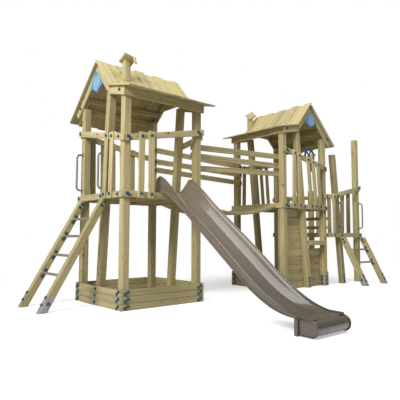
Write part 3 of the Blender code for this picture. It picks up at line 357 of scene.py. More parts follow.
def mesh_object(name, shapes, material):
    """One mesh object from several shapes of points and faces."""
    points, faces, start = [], [], 0
    for shape_points, shape_faces in shapes:
        points.append(shape_points)
        faces += [tuple(index + start for index in face) for face in shape_faces]
        start += len(shape_points)
    mesh = bpy.data.meshes.new(name)
    mesh.from_pydata(np.concatenate(points).tolist(), [], faces)
    mesh.materials.append(material)
    item = bpy.data.objects.new(name, mesh)
    bpy.context.scene.collection.objects.link(item)
    return item


def new_piece(name, shapes, material, body=BODY, smooth_angle=35):
    """A piece from several shapes given in plan metres, riding on a body."""
    item = mesh_object(name, [(points + ORIGIN, faces) for points, faces in shapes], material)
    item.data.validate()
    item.data.shade_smooth()
    item.data.set_sharp_from_angle(angle=math.radians(smooth_angle))
    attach(item, body)
    return item


# Node-based materials


class Recipe:
    """Short calls for building a material's nodes."""

    def __init__(self, tree):
        self.tree = tree

    def add(self, kind, *values, **settings):
        """Node of a kind with its settings, its first sockets fed with the values in order."""
        node = self.tree.nodes.new(kind)
        for key, value in settings.items():
            setattr(node, key, value)
        for socket, value in zip(node.inputs, values):
            self.feed(socket, value)
        return node

    def feed(self, socket, value):
        """Link another node's output, or set a plain value; None leaves the socket alone."""
        if isinstance(value, bpy.types.NodeSocket):
            self.tree.links.new(value, socket)
        elif value is not None:
            socket.default_value = value

    def math(self, operation, first, second=None):
        """Result of a sum on plain numbers, by the name of the operation."""
        return self.add("ShaderNodeMath", first, second, operation=operation).outputs[0]

    def product(self, first, second):
        """First times second."""
        return self.math("MULTIPLY", first, second)

    def vector(self, operation, first, second=None):
        """Result of a sum on vectors: a number for a dot product or a length."""
        node = self.add("ShaderNodeVectorMath", first, second, operation=operation)
        single = operation in ("DOT_PRODUCT", "LENGTH")
        return node.outputs["Value"] if single else node.outputs[0]

    def combine(self, x, y, z):
        """Vector from three numbers."""
        return self.add("ShaderNodeCombineXYZ", x, y, z).outputs[0]

    def split(self, value):
        """The three numbers of a vector or colour."""
        return self.add("ShaderNodeSeparateXYZ", value).outputs

    def mix(self, factor, first, second, kind="RGBA", blend="MIX"):
        """First at factor 0 and second at 1; each kind of value has sockets of its own."""
        node = self.add("ShaderNodeMix", factor, data_type=kind)
        if kind == "RGBA":
            node.blend_type = blend
            node.clamp_factor = True
        start, result = {"FLOAT": (2, 0), "VECTOR": (4, 1), "RGBA": (6, 2)}[kind]
        for number, value in enumerate((first, second)):
            if kind == "RGBA" and isinstance(value, tuple):
                value = (*value[:3], 1.0)
            self.feed(node.inputs[start + number], value)
        return node.outputs[result]

    def shade(self, colour, tone):
        """The colour times a grey tone."""
        return self.mix(1.0, colour, self.combine(tone, tone, tone), blend="MULTIPLY")

    def noise(self, vector, scale, detail, rough):
        """Smooth noise of even grain."""
        node = self.add("ShaderNodeTexNoise", vector)
        node.inputs["Scale"].default_value = scale
        node.inputs["Detail"].default_value = detail
        node.inputs["Roughness"].default_value = rough
        return node.outputs[0]

    def grain(self, vector, stretch, detail, rough):
        """Noise drawn out by its own scale along each axis."""
        return self.noise(self.vector("MULTIPLY", vector, stretch), 1.0, detail, rough)

    def cells(self, vector, scale):
        """Distance to the nearest of scattered points, and a colour of its own for each."""
        node = self.add("ShaderNodeTexVoronoi", vector)
        node.inputs["Scale"].default_value = scale
        return node.outputs

    def between(self, value, low, high, to_low=0.0, to_high=1.0):
        """Straight ramp from to_low at low to to_high at high, level outside them."""
        return self.add("ShaderNodeMapRange", value, low, high, to_low, to_high,
                        clamp=True).outputs[0]

    def plan(self):
        """Object coordinates moved so that they are plan metres."""
        node = self.add("ShaderNodeTexCoord")
        return self.vector("SUBTRACT", node.outputs["Object"], tuple(ORIGIN))

    def finish(self, colour, roughness, height, bump, metallic=0.0, specular=0.5, coat=0.0):
        """Feed the Principled shader; the height becomes a bump of the given distance."""
        shader = self.tree.nodes["Principled BSDF"]
        self.feed(shader.inputs["Base Color"], colour)
        self.feed(shader.inputs["Roughness"], roughness)
        shader.inputs["Metallic"].default_value = metallic
        shader.inputs["Specular IOR Level"].default_value = specular
        shader.inputs["Coat Weight"].default_value = coat
        node = self.add("ShaderNodeBump")
        node.inputs["Strength"].default_value = 0.6
        node.inputs["Distance"].default_value = bump
        self.feed(node.inputs["Height"], height)
        self.feed(shader.inputs["Normal"], node.outputs[0])


def new_recipe(name):
    """A new material and the recipe for its nodes."""
    material = bpy.data.materials.new(name)
    material.use_nodes = True
    return material, Recipe(material.node_tree)


def pine_group(settings):
    """Sawn pine from a place (along, across, across) in metres and three numbers of the board.

    Growth rings are contour lines of a stretched noise plus a steady rise across the board;
    fibres are a very stretched noise; a knot is a cell point that pulls the rings round it."""
    name = "pine surface"
    tree = bpy.data.node_groups.new(name, "ShaderNodeTree")
    for socket, kind in (("Place", "Vector"), ("Board", "Vector"), ("End", "Float"),
                         ("Ground", "Float"), ("Colour", "Color")):
        tree.interface.new_socket(socket, in_out="INPUT", socket_type="NodeSocket" + kind)
    for socket, kind in (("Colour", "Color"), ("Roughness", "Float"), ("Height", "Float")):
        tree.interface.new_socket(socket, in_out="OUTPUT", socket_type="NodeSocket" + kind)
    r = Recipe(tree)
    given = r.add("NodeGroupInput").outputs
    board = r.split(given["Board"])
    apart = r.vector("MULTIPLY", given["Board"], (23.0, 17.0, 29.0))
    moved = r.vector("ADD", given["Place"], apart)
    cells = r.cells(r.vector("MULTIPLY", moved, (4.2, 9.0, 9.0)), 1.0)
    shown = r.math("LESS_THAN", r.split(cells["Color"])[0], settings.knot_share)
    distance = r.math("ADD", cells["Distance"], r.math("SUBTRACT", 1.0, shown))
    pull = r.between(distance, 0.05, 0.42, 1.0, 0.0)
    knot = r.between(distance, 0.075, 0.125, 1.0, 0.0)
    halo = r.between(distance, 0.10, 0.26, 1.0, 0.0)
    wave = r.grain(moved, (0.9, 6.0, 6.0), 1.0, 0.4)
    place = r.split(given["Place"])
    rise = r.math("ADD", place[1], r.product(place[2], 0.55))
    per_ring = 1.0 / settings.grain_pitch
    phase = r.math("ADD", r.product(rise, per_ring * 0.7), r.product(wave, 9.0))
    phase = r.math("ADD", phase, r.product(pull, 1.6))
    ring = r.math("FRACT", phase)
    late = r.between(ring, 0.35, 0.92)
    late = r.product(r.math("POWER", late, 2.0), r.between(ring, 0.92, 1.0, 1.0, 0.0))
    fibre = r.grain(moved, (5.0, 210.0, 210.0), 2.0, 0.6)
    streak = r.grain(moved, (0.7, 26.0, 26.0), 2.0, 0.55)
    patch = r.grain(moved, (1.4, 3.0, 3.0), 2.0, 0.5)
    check = r.between(r.grain(moved, (1.1, 75.0, 75.0), 1.0, 0.4), 0.70, 0.74)
    colour = given["Colour"]
    tone = r.between(board[0], 0.0, 1.0, 0.82, 1.12)
    tone = r.product(tone, r.between(streak, 0.32, 0.68, 0.85, 1.09))
    tone = r.product(tone, r.between(fibre, 0.3, 0.7, 0.95, 1.04))
    tone = r.product(tone, r.between(late, 0.0, 1.0, 1.03, 0.74))
    tone = r.product(tone, r.between(given["End"], 0.0, 1.0, 1.0, 0.80))
    tone = r.product(tone, r.between(given["Ground"], 0.0, 0.30, 0.90, 1.0))
    green = r.product(r.between(patch, 0.38, 0.66), r.between(board[1], 0.0, 1.0, 0.15, 0.75))
    colour = r.mix(green, colour, (0.86, 0.98, 0.72), blend="MULTIPLY")
    warm = r.product(late, r.between(board[2], 0.0, 1.0, 0.30, 0.85))
    colour = r.mix(warm, colour, (1.0, 0.86, 0.66), blend="MULTIPLY")
    colour = r.shade(colour, tone)
    colour = r.mix(r.product(halo, 0.45), colour, (0.40, 0.25, 0.105))
    colour = r.mix(r.product(knot, 0.85), colour, (0.150, 0.080, 0.035))
    colour = r.mix(r.product(check, 0.40), colour, (0.20, 0.14, 0.07))
    rough = r.between(fibre, 0.3, 0.7, 0.62, 0.78)
    rough = r.math("SUBTRACT", rough, r.product(knot, 0.15))
    height = r.math("ADD", r.product(fibre, 0.35), r.product(late, 0.45))
    height = r.math("SUBTRACT", height, r.product(check, 1.2))
    height = r.math("SUBTRACT", height, r.product(r.product(knot, halo), 0.3))
    out = r.add("NodeGroupOutput")
    for socket, value in (("Colour", colour), ("Roughness", rough), ("Height", height)):
        r.feed(out.inputs[socket], value)
    return tree


# Pitches that part no board from its neighbour: one that only tells the two sides of a tower
# apart, and one wider than a part, each with the place from which it is counted
APART, APART_START = 0.6, -0.3
WIDE, WIDE_START = 5.0, -2.5


class Zone:
    """One run of grain: its direction, how its boards are parted, and where it holds.

    Across the grain, first and second are a pitch or a list of edges, counted from start. A place
    is in the zone where it is in one of the boxes of where: rows of axis, low and high limit."""

    def __init__(self, grain, first=APART, second=APART, where=(),
                 start=(APART_START, APART_START)):
        self.grain = np.asarray(grain, float) / np.linalg.norm(grain)
        self.parting = (first, second)
        self.start = start
        self.where = where
        if abs(self.grain[2]) < 1e-6:
            self.across = (np.abs(np.cross(Z_WAY, self.grain)), Z_WAY)
        else:
            flat = X_WAY if abs(self.grain[0]) < 1e-6 else Y_WAY
            other = np.cross(self.grain, flat)
            self.across = (flat, other * np.sign(other[np.argmax(np.abs(other))]))

    def mask(self, r, axes):
        """One where a place given by its three axes is in the zone, else nought."""
        mask = None
        for box in self.where:
            inside = None
            for axis, low, high in box:
                for operation, limit in (("GREATER_THAN", low), ("LESS_THAN", high)):
                    if limit is None:
                        continue
                    test = r.math(operation, axes["xyz".index(axis)], limit)
                    inside = test if inside is None else r.product(inside, test)
            mask = inside if mask is None else r.math("MAXIMUM", mask, inside)
        return mask


def board_number(r, value, parting, start):
    """Whole number of the board that a place across the grain lies in."""
    if isinstance(parting, (list, tuple)):
        total = 0.0
        for edge in parting:
            total = r.math("ADD", r.math("GREATER_THAN", value, edge), total)
        return total
    return r.math("FLOOR", r.math("DIVIDE", r.math("SUBTRACT", value, start), parting))


def plank_seam(r, parts, zone):
    """One in the narrow dark joint between two planks of an even pitch, else nought."""
    total = 0.0
    for value, parting, start in zip(parts[1:], zone.parting, zone.start):
        if isinstance(parting, (list, tuple)) or parting > 0.2:
            continue
        share = r.math("FRACT", r.math("DIVIDE", r.math("SUBTRACT", value, start), parting))
        gap = r.product(r.math("MINIMUM", share, r.math("SUBTRACT", 1.0, share)), parting)
        total = r.math("MAXIMUM", r.between(gap, 0.0016, 0.0042, 1.0, 0.0), total)
    return total


def pine(name, zones, colour, group):
    """Pine whose grain follows the boards of a node; the first zone holds where no other does."""
    material, r = new_recipe(name)
    plan = r.plan()
    axes = r.split(plan)
    normal = r.add("ShaderNodeTexCoord").outputs["Normal"]
    for number, zone in enumerate(zones):
        ways = (zone.grain, *zone.across)
        parts = [r.vector("DOT_PRODUCT", plan, tuple(way)) for way in ways]
        cells = [board_number(r, parts[k + 1], zone.parting[k], zone.start[k]) for k in (0, 1)]
        facing = r.math("ABSOLUTE", r.vector("DOT_PRODUCT", normal, tuple(zone.grain)))
        here = (r.combine(*parts), r.combine(*cells, float(number)),
                r.math("GREATER_THAN", facing, 0.9), plank_seam(r, parts, zone))
        if number:
            mask = zone.mask(r, axes)
            here = [r.mix(mask, before, now, kind=kind) for before, now, kind in zip(
                (place, board, end, seam), here, ("VECTOR", "VECTOR", "FLOAT", "FLOAT"))]
        place, board, end, seam = here
    random = r.add("ShaderNodeTexWhiteNoise", board, noise_dimensions="3D")
    surface_node = r.add("ShaderNodeGroup", node_tree=group)
    r.feed(surface_node.inputs["Place"], place)
    r.feed(surface_node.inputs["Board"], random.outputs["Color"])
    r.feed(surface_node.inputs["End"], end)
    r.feed(surface_node.inputs["Ground"], axes[2])
    surface_node.inputs["Colour"].default_value = (*colour, 1.0)
    tinted = r.mix(r.product(seam, 0.78), surface_node.outputs["Colour"],
                   (0.105, 0.075, 0.040))
    height = r.math("SUBTRACT", surface_node.outputs["Height"], r.product(seam, 1.5))
    r.finish(tinted, surface_node.outputs["Roughness"], height, bump=0.0012, specular=0.28)
    return material


def moulded(name, colour, roughness, speckle=0.06, coat=0.0, painted_low_shade=1.0):
    """Moulded plastic: pitted skin, faint flow marks, dull scuffs, painted shade low down."""
    material, r = new_recipe(name)
    plan = r.plan()
    grain = r.noise(plan, 900.0, 1.0, 0.5)
    flow = r.grain(plan, (3.0, 3.0, 6.0), 3.0, 0.55)
    scuff = r.between(r.grain(plan, (60.0, 7.0, 60.0), 3.0, 0.6), 0.60, 0.72)
    tone = r.between(flow, 0.3, 0.7, 1.0 - speckle, 1.0 + speckle)
    tone = r.product(tone, r.between(grain, 0.3, 0.7, 0.97, 1.03))
    # painted shade: colour darkened towards the bottom, standing in for the shade on the slide's
    # low run-out
    tone = r.product(tone, r.between(r.split(plan)[2], 0.22, 0.80, painted_low_shade, 1.0))
    base = r.shade(colour, tone)
    pale = tuple(min(1.0, value * 1.35 + 0.03) for value in colour)
    base = r.mix(r.product(scuff, 0.10), base, pale)
    rough = r.math("ADD", r.between(flow, 0.3, 0.7, roughness - 0.04, roughness + 0.05),
                   r.product(scuff, 0.08))
    height = r.math("ADD", r.product(grain, 0.25), r.product(flow, 0.4))
    r.finish(base, rough, height, bump=0.0006, coat=coat)
    return material


def coated_steel(name, colour, metallic, roughness, spangle=0.0):
    """Coated or galvanised steel: drawn streaks, orange-peel skin, spangle cells where asked."""
    material, r = new_recipe(name)
    plan = r.plan()
    peel = r.noise(plan, 420.0, 2.0, 0.5)
    stain = r.noise(plan, 9.0, 4.0, 0.6)
    crystal = r.split(r.cells(plan, 95.0)["Color"])[0]
    tone = r.between(stain, 0.3, 0.7, 0.86, 1.10)
    tone = r.product(tone, r.between(crystal, 0.0, 1.0, 1.0 - spangle, 1.0 + spangle))
    base = r.shade(colour, tone)
    rough = r.math("ADD", r.between(stain, 0.3, 0.7, roughness - 0.06, roughness + 0.08),
                   r.product(crystal, spangle * 0.5))
    r.finish(base, rough, peel, bump=0.0004, metallic=metallic)
    return material


# Grain layout of every timber node

# Where the boards that run front to back lie, in a ring or a frame
BETWEEN_Y = [[("y", -INNER, TOWER_DEEP + INNER)]]
# Roofs: plane of the gables, where the tower starts in it, and its length along the ridge; the
# profile's tip of the flare, knee, ridge and far eave; the two ends of the slopes
ROOFS = {
    "left_tower": ("yz", 0.0, TOWER_LONG,
                   ((-0.27, 2.81), (0.26, 2.94), (0.64, 3.38), (1.46, 2.63)), (-0.12, 1.34)),
    "right_tower": ("xz", SECOND_X, TOWER_DEEP,
                    ((-0.27, 2.81), (0.30, 2.93), (0.70, 3.39), (1.47, 2.67)), (-0.12, 1.25)),
}


def in_wall(axes, across, rise):
    """Direction in the wall plane: xz or yz, from a run across and a rise."""
    return WALLS[axes][0] * across + Z_WAY * rise


def strip_edges(start, end, count=9, reach=0.004):
    """Where the visible edges of the lapped roof boards lie."""
    pitch = (end - start) / count
    return [start + k * pitch + (reach if k % 2 else -reach) for k in range(1, count)]


def slope_zones(axes, shift, profile, ends):
    """Boards of the steep slope and of the flare at its foot, and boards of the long slope."""
    tip, knee, ridge, eave = np.array(profile)
    edges = strip_edges(*ends)
    steep = Zone(in_wall(axes, *(ridge - knee)), edges, WIDE, start=(0, WIDE_START))
    flare = Zone(in_wall(axes, *(knee - tip)), edges, 7.0, start=(0, -3.0),
                 where=[[(axes[0], None, knee[0] + shift - 0.004)]])
    long = Zone(in_wall(axes, *(eave - ridge)), edges, WIDE, start=(0, WIDE_START))
    return [steep, flare], [long]


def roof_frame_zones(axes, shift, length, profile):
    """Eave beams and purlins run along the ridge, barge boards along their slopes."""
    tip, knee, ridge, eave = np.array(profile)
    other = "x" if axes == "yz" else "y"
    sideways, along = WALLS[axes]
    gables = [(other, -0.0790, -FACE), (other, length + FACE, length + 0.0790)]
    zones = [Zone(along), Zone(sideways, APART, PLANK, start=(APART_START, 2.945), where=[
        [(other, length + 0.0290, length + 0.0504), ("z", 2.944, None)]])]
    for first, last, low, high in ((tip, knee, -0.3, knee[0] - 0.005),
                                   (knee, ridge, knee[0] - 0.005, ridge[0]),
                                   (ridge, eave, ridge[0], 2.0)):
        boxes = [[gable, (axes[0], low + shift, high + shift), ("z", 2.60, None)]
                 for gable in gables]
        zones.append(Zone(in_wall(axes, *(last - first)), APART, WIDE, where=boxes,
                          start=(APART_START, WIDE_START)))
    return zones


def rail_zones(axes, rise, slats, face, low_rail):
    """A sloping rail and the slats on its outside, parted where one slat follows another."""
    other = "y" if axes == "xz" else "x"
    outside = (other, None, face) if face < 0.5 else (other, face, None)
    if not slats:
        return [Zone(in_wall(axes, 1, rise))]
    parting = (slats, APART) if axes == "xz" else (APART, slats)
    return [Zone(in_wall(axes, 1, rise), APART, WIDE, start=(APART_START, WIDE_START)),
            Zone(Z_WAY, *parting, where=[[outside], [("z", None, low_rail)]])]


def pine_layout():
    """(nodes, zones, which colour) for every timber node."""
    back = TOWER_DEEP + SLAT_FACE
    side = SIDE_X + SLAT_FACE
    floor_pitch = (TOWER_DEEP + 2 * FACE + FLOOR_GAP) / 10
    inner_pitch = (TOWER_DEEP - FLOOR_IN - FLOOR_IN + FLOOR_GAP) / 8
    upright = [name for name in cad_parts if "_post_" in name and "leaning" not in name]
    rows = [
        (upright, [Zone(Z_WAY)], "post"),
        (["left_tower_leaning_post_left", "left_tower_leaning_post_right"],
         [Zone((0, 0.377 - 0.605, 2.87))], "post"),
        (["right_tower_leaning_post_front", "right_tower_leaning_post_back"],
         [Zone((0.380 - 0.680, 0, 2.85))], "post"),
        (["side_deck_leaning_post"], [Zone((4.71 - 4.99, 0, 2.53))], "post"),
        (["left_tower_sandbox_planks", "right_tower_rim_planks"],
         [Zone(X_WAY, APART, PLANK, start=(APART_START, 0.0)),
          Zone(Y_WAY, APART, PLANK, start=(APART_START, 0.0), where=BETWEEN_Y)], "board"),
        (["left_tower_deck_frame", "right_tower_deck_frame", "side_deck_frame"],
         [Zone(X_WAY), Zone(Y_WAY, 0.3, APART, where=BETWEEN_Y)], "board"),
        (["left_tower_floor"],
         [Zone(X_WAY, floor_pitch, WIDE, start=(-FACE - FLOOR_GAP / 2, WIDE_START)),
          Zone(Y_WAY, where=[[("z", None, 1.478)]])], "board"),
        (["right_tower_floor", "side_deck_floor"],
         [Zone(X_WAY, inner_pitch, 0.4, start=(FLOOR_IN - FLOOR_GAP / 2, 0.8)),
          Zone(Y_WAY, where=[[("z", None, 0.968)], [("z", 1.2, 1.478)]])], "board"),
        (["left_tower_railing_left"], rail_zones("yz", 0.1975, [0.285], -SLAT_FACE, 2.05), "board"),
        (["left_tower_railing_front"], rail_zones("xz", 0.201, [0.27], -SLAT_FACE, 2.10), "board"),
        (["left_tower_railing_back"], rail_zones(
            "xz", -0.167, [0.25, 0.42, 0.59, 0.77, 0.94], back, 2.10), "board"),
        (["left_tower_railing_right"], rail_zones("yz", -0.164, [], 1.3, 2.0), "board"),
        (["right_tower_railing_front"], rail_zones(
            "xz", -0.192, [SECOND_X + v for v in (0.29, 0.5, 0.74, 0.885)], -SLAT_FACE, 2.13),
         "board"),
        (["right_tower_railing_back"], rail_zones(
            "xz", 0.178, [SECOND_X + v for v in (0.22, 0.5, 0.75, 0.91)], back, 2.10), "board"),
        (["side_deck_railing_front"], rail_zones("xz", 0.20, [4.0], -SLAT_FACE, 1.60), "board"),
        (["side_deck_railing_right"], rail_zones(
            "yz", -0.127, [0.31, 0.46, 0.61, 0.77, 0.92], side, 1.66), "board"),
        (["side_deck_railing_back"], rail_zones(
            "xz", 0.093, [FAR_X + v for v in (0.25, 0.42, 0.59, 0.76, 0.93)], back, 1.60), "board"),
        (["bridge_rail_front_top", "bridge_rail_front_middle", "bridge_rail_front_low"],
         [Zone((1, 0, 0.040), APART, 0.135, start=(APART_START, 1.905))], "post"),
        (["bridge_rail_back_top", "bridge_rail_back_middle", "bridge_rail_back_low"],
         [Zone((1, 0, -0.032), APART, 0.125, start=(APART_START, 1.93))], "post"),
        (["bridge_deck_left_half", "bridge_deck_right_half"],
         [Zone(Y_WAY, (SECOND_X - TOWER_LONG - 2 * BEAM_OUT) / 18, WIDE,
               start=(TOWER_LONG + BEAM_OUT, WIDE_START))], "post"),
        (["right_tower_siding"], [Zone(X_WAY, APART, 0.140, start=(APART_START, 0.0))], "post"),
        (["right_tower_counter"], [Zone(X_WAY)], "board"),
        (["side_step_bars"], [Zone(Y_WAY, APART, 0.17, start=(APART_START, 1.0)),
                              Zone(Z_WAY, where=[[("x", None, FAR_X + INNER)]])], "board"),
        (["left_tower_chimney", "right_tower_chimney", "ships_wheel_bracket"],
         [Zone(Z_WAY)], "board"),
        (["left_ladder"], [Zone(LADDERS["left"].up)], "post"),
        (["right_ladder"], [Zone(LADDERS["right"].up)], "post"),
    ]
    for tower, (axes, shift, length, profile, ends) in ROOFS.items():
        steep, long = slope_zones(axes, shift, profile, ends)
        rows += [([tower + "_roof_steep_slope"], steep, "board"),
                 ([tower + "_roof_long_slope"], long, "board"),
                 ([tower + "_roof_frame"], roof_frame_zones(axes, shift, length, profile), "board")]
    return rows


# Operators


class PLAYTOWER_OT_timber(bpy.types.Operator):
    """Give every timber node pine whose grain follows its boards"""
    bl_idname = "playtower.timber"
    bl_label = "Timber"

    def execute(self, context):
        settings = context.scene.playtower_timber
        group = pine_group(settings)
        colours = {"post": tuple(settings.post_colour), "board": tuple(settings.board_colour)}
        boards = board_shapes()
        for nodes, zones, which in pine_layout():
            material = pine("pine " + nodes[0].replace("_", " "), zones, colours[which], group)
            for node in nodes:
                dress(node, material)
                if node in boards:
                    item = new_piece(node + "_boards", boards[node], material)
                    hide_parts(node)
        return {"FINISHED"}


def board_shapes():
    """Shapes of the timber nodes that are set out again board by board."""
    shapes = {node: railing_shapes(*values) for node, values in railing_pieces().items()}
    shapes.update({node: chimney_shapes(*values) for node, values in CHIMNEYS.items()})
    shapes["ships_wheel_bracket"] = bracket_shapes()
    return shapes


def height_on(line, place):
    """Height of a straight rail at a place along its wall."""
    (start, start_z), (end, end_z) = line
    return start_z + (end_z - start_z) * (place - start) / (end - start)


def railing_shapes(axes, level, outward, rails, slats, low_z):
    """Sloping rails on the posts' faces and the slats bolted over them, down across the beam."""
    along, other = WALLS[axes]
    shapes = []
    rail_outline = rounded_outline(PLANK, RAIL_FACE - INNER, 0.003, 4)
    middle = other * (level + outward * ((RAIL_FACE + INNER) / 2 - FACE))
    for (start, start_z), (end, end_z) in rails:
        shapes.append(sawn_board(rail_outline, along * start + Z_WAY * start_z + middle,
                                 along * end + Z_WAY * end_z + middle, Z_WAY, other))
    slat_outline = rounded_outline(PLANK, SLAT_THICK, 0.003, 4)
    middle = other * (level + outward * (SLAT_OUT - SLAT_THICK / 2 - FACE))
    for foot, head in slats:
        top = height_on(rails[0], head) + SLAT_PAST
        shapes.append(sawn_board(slat_outline, along * foot + Z_WAY * low_z + middle,
                                 along * head + Z_WAY * top + middle, along, other))
    return shapes


def cut_post(outline, centre, along, other, base_z, top_z, tilt):
    """Upright stem whose top is sawn to a slope: z = top + tilt . (along, other)."""
    outline = np.asarray(outline, float)
    top = top_z + outline @ np.asarray(tilt, float)
    flat = np.asarray(centre, float) + outline[:, :1] * along + outline[:, 1:] * other
    rows = [flat + Z_WAY * (base_z + (top - base_z) * share)[:, None]
            for share in (0.0, 0.05, 0.5, 0.95, 1.0)]
    return loft(rows)


def chimney_shapes(axes, shift, middle, along_at, base_z, low, high, half, rise):
    """Stem on the roof under a crooked lid board, with a flap hanging at the lid's high end."""
    other, along = WALLS[axes]
    low, high = np.array(low), np.array(high)
    way = (high - low) / np.linalg.norm(high - low)
    up = np.array((-way[1], way[0])) * (1 if way[0] > 0 else -1)
    slope = way[1] / way[0]
    centre = other * shift + along * along_at
    lid_z = low[1] + (middle - low[0]) * slope - 0.016
    stem = cut_post(rounded_outline(0.096, 0.080, 0.004, 3), centre + other * middle, along, other,
                    base_z, lid_z, (rise, slope))

    def point(flat):
        """A place in the gable's plane, through the middle of the stem."""
        return centre + other * flat[0] + Z_WAY * flat[1]

    across = (along + Z_WAY * rise) / math.hypot(1, rise)
    normal = other * up[0] + Z_WAY * up[1]
    lid = sawn_board(rounded_outline(2 * half, 0.024, 0.003, 3), point(low), point(high),
                     across, normal)
    start = point(high - way * 0.011) + across * (half - 0.028)
    flap = sawn_board(rounded_outline(0.046, 0.018, 0.003, 3), start, start - normal * 0.095,
                      across, other * way[0] + Z_WAY * way[1])
    return [stem, lid, flap]


# Chimneys: gable plane, shift, middle of the stem across and along the ridge, its foot, the lid's
# low and high end, half the lid's width and its rise along the ridge
CHIMNEYS = {
    "left_tower_chimney": ("yz", 0.0, 0.435, 0.250, 3.110, (0.483, 3.366), (0.316, 3.442), 0.093,
                           -0.20),
    "right_tower_chimney": ("xz", SECOND_X, 0.450, 1.174, 3.060, (0.370, 3.315), (0.565, 3.425),
                            0.075, 0.95),
}


def bracket_shapes():
    """Board with a rounded head behind the front rail, and the wheel's collar and axle."""
    low, half, thick = 2.125, 0.035, 0.028
    angle = np.linspace(0, math.pi, 17)
    head = np.stack([half * np.cos(angle), WHEEL_Z - low + half * np.sin(angle)], axis=1)
    outline = np.concatenate([[(-half, 0.0), (half, 0.0)], head])
    board = placed(plate(outline, thick, 0.003), (WHEEL_X, -FACE + thick, low), -Y_WAY, X_WAY)
    collar = turned([(0.0195, 0.0), (0.0200, 0.0010), (0.0200, 0.0265), (0.0192, 0.0275)], 24)
    axle = turned([(0.0098, 0.0), (0.0100, 0.0010), (0.0100, 0.0660), (0.0094, 0.0668)], 20)
    place = (WHEEL_X, -FACE + thick / 2, WHEEL_Z)
    return [board, repeated(collar, place, Y_WAY), repeated(axle, place, Y_WAY)]


def railing_pieces():
    """The railings whose slats are set out board by board: node, then the values of its shapes."""
    low, side_low = BEAM_Z - BEAM_HALF, LOW_BEAM_Z - BEAM_HALF
    return {
        "left_tower_railing_left": ("yz", -FACE, -1, (LEFT_RAIL,), LEFT_SLATS, low),
        "right_tower_railing_front": ("xz", -FACE, -1, (RIGHT_RAIL,), RIGHT_SLATS, low),
        "side_deck_railing_front": (
            "xz", -FACE, -1, (((FAR_X - FACE, 1.685), (4.832, 1.705)),
                              ((4.782, 1.735), (SIDE_X + BEAM_OUT, 1.935))),
            ((FAR_X + 0.25, FAR_X + 0.26),), side_low),
        "side_deck_railing_right": ("yz", SIDE_X + FACE, 1, (SIDE_RAIL,), SIDE_SLATS, side_low),
    }


def dress(node, material):
    """Put the material in every slot of a CAD node."""
    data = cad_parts[node].data
    if not data.materials:
        data.materials.append(material)
    for slot in range(len(data.materials)):
        data.materials[slot] = material


class Fixings:
    """Collects the places and outward directions of the bolt caps, group by group."""

    def __init__(self):
        self.groups = {}

    def put(self, group, place, way):
        """One cap at a place, standing out along a way."""
        self.groups.setdefault(group, []).append((place, way))

    def on_wall(self, group, axes, face, outward, across, z):
        """One cap on a wall of posts, at a place across the wall and a height."""
        along, other = WALLS[axes]
        self.put(group, along * across + other * face + Z_WAY * z, other * outward)

    def pair(self, group, axes, face, outward, across, z, spread=0.021, rise=0.019):
        """Two caps on a diagonal, as two bolts through one joint are set."""
        for side in (-1, 1):
            self.on_wall(group, axes, face, outward, across + side * spread, z + side * rise)

    def railing(self, group, axes, level, outward, line, posts, slats, beam_z):
        """A cap at the rail and one at the beam on every post and on every slat."""
        rail_face = level + outward * (RAIL_FACE - FACE)
        beam_face = level + outward * (BEAM_OUT - FACE)
        slat_face = level + outward * (SLAT_OUT - FACE)
        for across in posts:
            z = height_on(line, across)
            if axes == "xz" and outward < 0:
                self.pair(group, axes, rail_face, outward, across, z, -0.018, 0.012)
                self.pair(group, axes, beam_face, outward, across, beam_z, -0.018, 0.010)
            else:
                self.on_wall(group, axes, rail_face, outward, across, z)
                self.on_wall(group, axes, beam_face, outward, across, beam_z)
        for foot, head in slats:
            self.on_wall(group, axes, slat_face, outward, head, height_on(line, head))
            self.on_wall(group, axes, slat_face, outward, foot, beam_z + 0.015)


def fixing_places():
    """Places and outward directions of every bolt cap, grouped by the part of the tower."""
    fixings = Fixings()
    rim_fixings(fixings)
    tower_fixings(fixings)
    side_fixings(fixings)
    bridge_fixings(fixings)
    roof_fixings(fixings)
    ladder_fixings(fixings)
    foot_fixings(fixings)
    return fixings.groups


def tower_fixings(fixings):
    """Caps on the rails, slats and deck beams of both towers."""
    fixings.railing("left_rails", "yz", -FACE, -1, LEFT_RAIL, (0.046, TOWER_DEEP + 0.034),
                    LEFT_SLATS, BEAM_Z)
    fixings.railing("left_rails", "xz", -FACE, -1,
                    ((-FACE, 2.175), (TOWER_LONG + FACE + 0.028, 2.433)),
                    (0.004, TOWER_LONG - 0.012), ((0.185, 0.195), (0.345, 0.340)), BEAM_Z)
    fixings.railing("left_rails", "xz", BACK_FACE, 1, ((-FACE, 2.400), (TOWER_LONG + FACE, 2.185)),
                    (0.0, TOWER_LONG), ((0.17, 0.15), (0.34, 0.33), (0.51, 0.49), (0.69, 0.66),
                                        (0.86, 0.85), (1.03, 1.01)), BEAM_Z)
    fixings.on_wall("left_rails", "yz", -BEAM_OUT, -1, 0.489, BEAM_Z)
    fixings.railing("right_rails", "xz", -FACE, -1, RIGHT_RAIL, (SECOND_X + 0.040, FAR_X - 0.020),
                    RIGHT_SLATS, BEAM_Z)
    back_slats = [(SECOND_X + foot, SECOND_X + head) for foot, head in (
        (0.14, 0.16), (0.28, 0.30), (0.72, 0.62), (0.87, 0.78), (1.03, 0.95))]
    fixings.railing("right_rails", "xz", BACK_FACE, 1,
                    ((SECOND_X - FACE, 2.20), (FAR_X + FACE, 2.43)), (SECOND_X, FAR_X),
                    back_slats, BEAM_Z)
    fixings.on_wall("right_rails", "xz", -BEAM_OUT, -1, SECOND_X + 0.527, BEAM_Z)
    fixings.on_wall("right_rails", "xz", -BEAM_OUT, -1, SECOND_X - 0.008, BEAM_Z + 0.014)


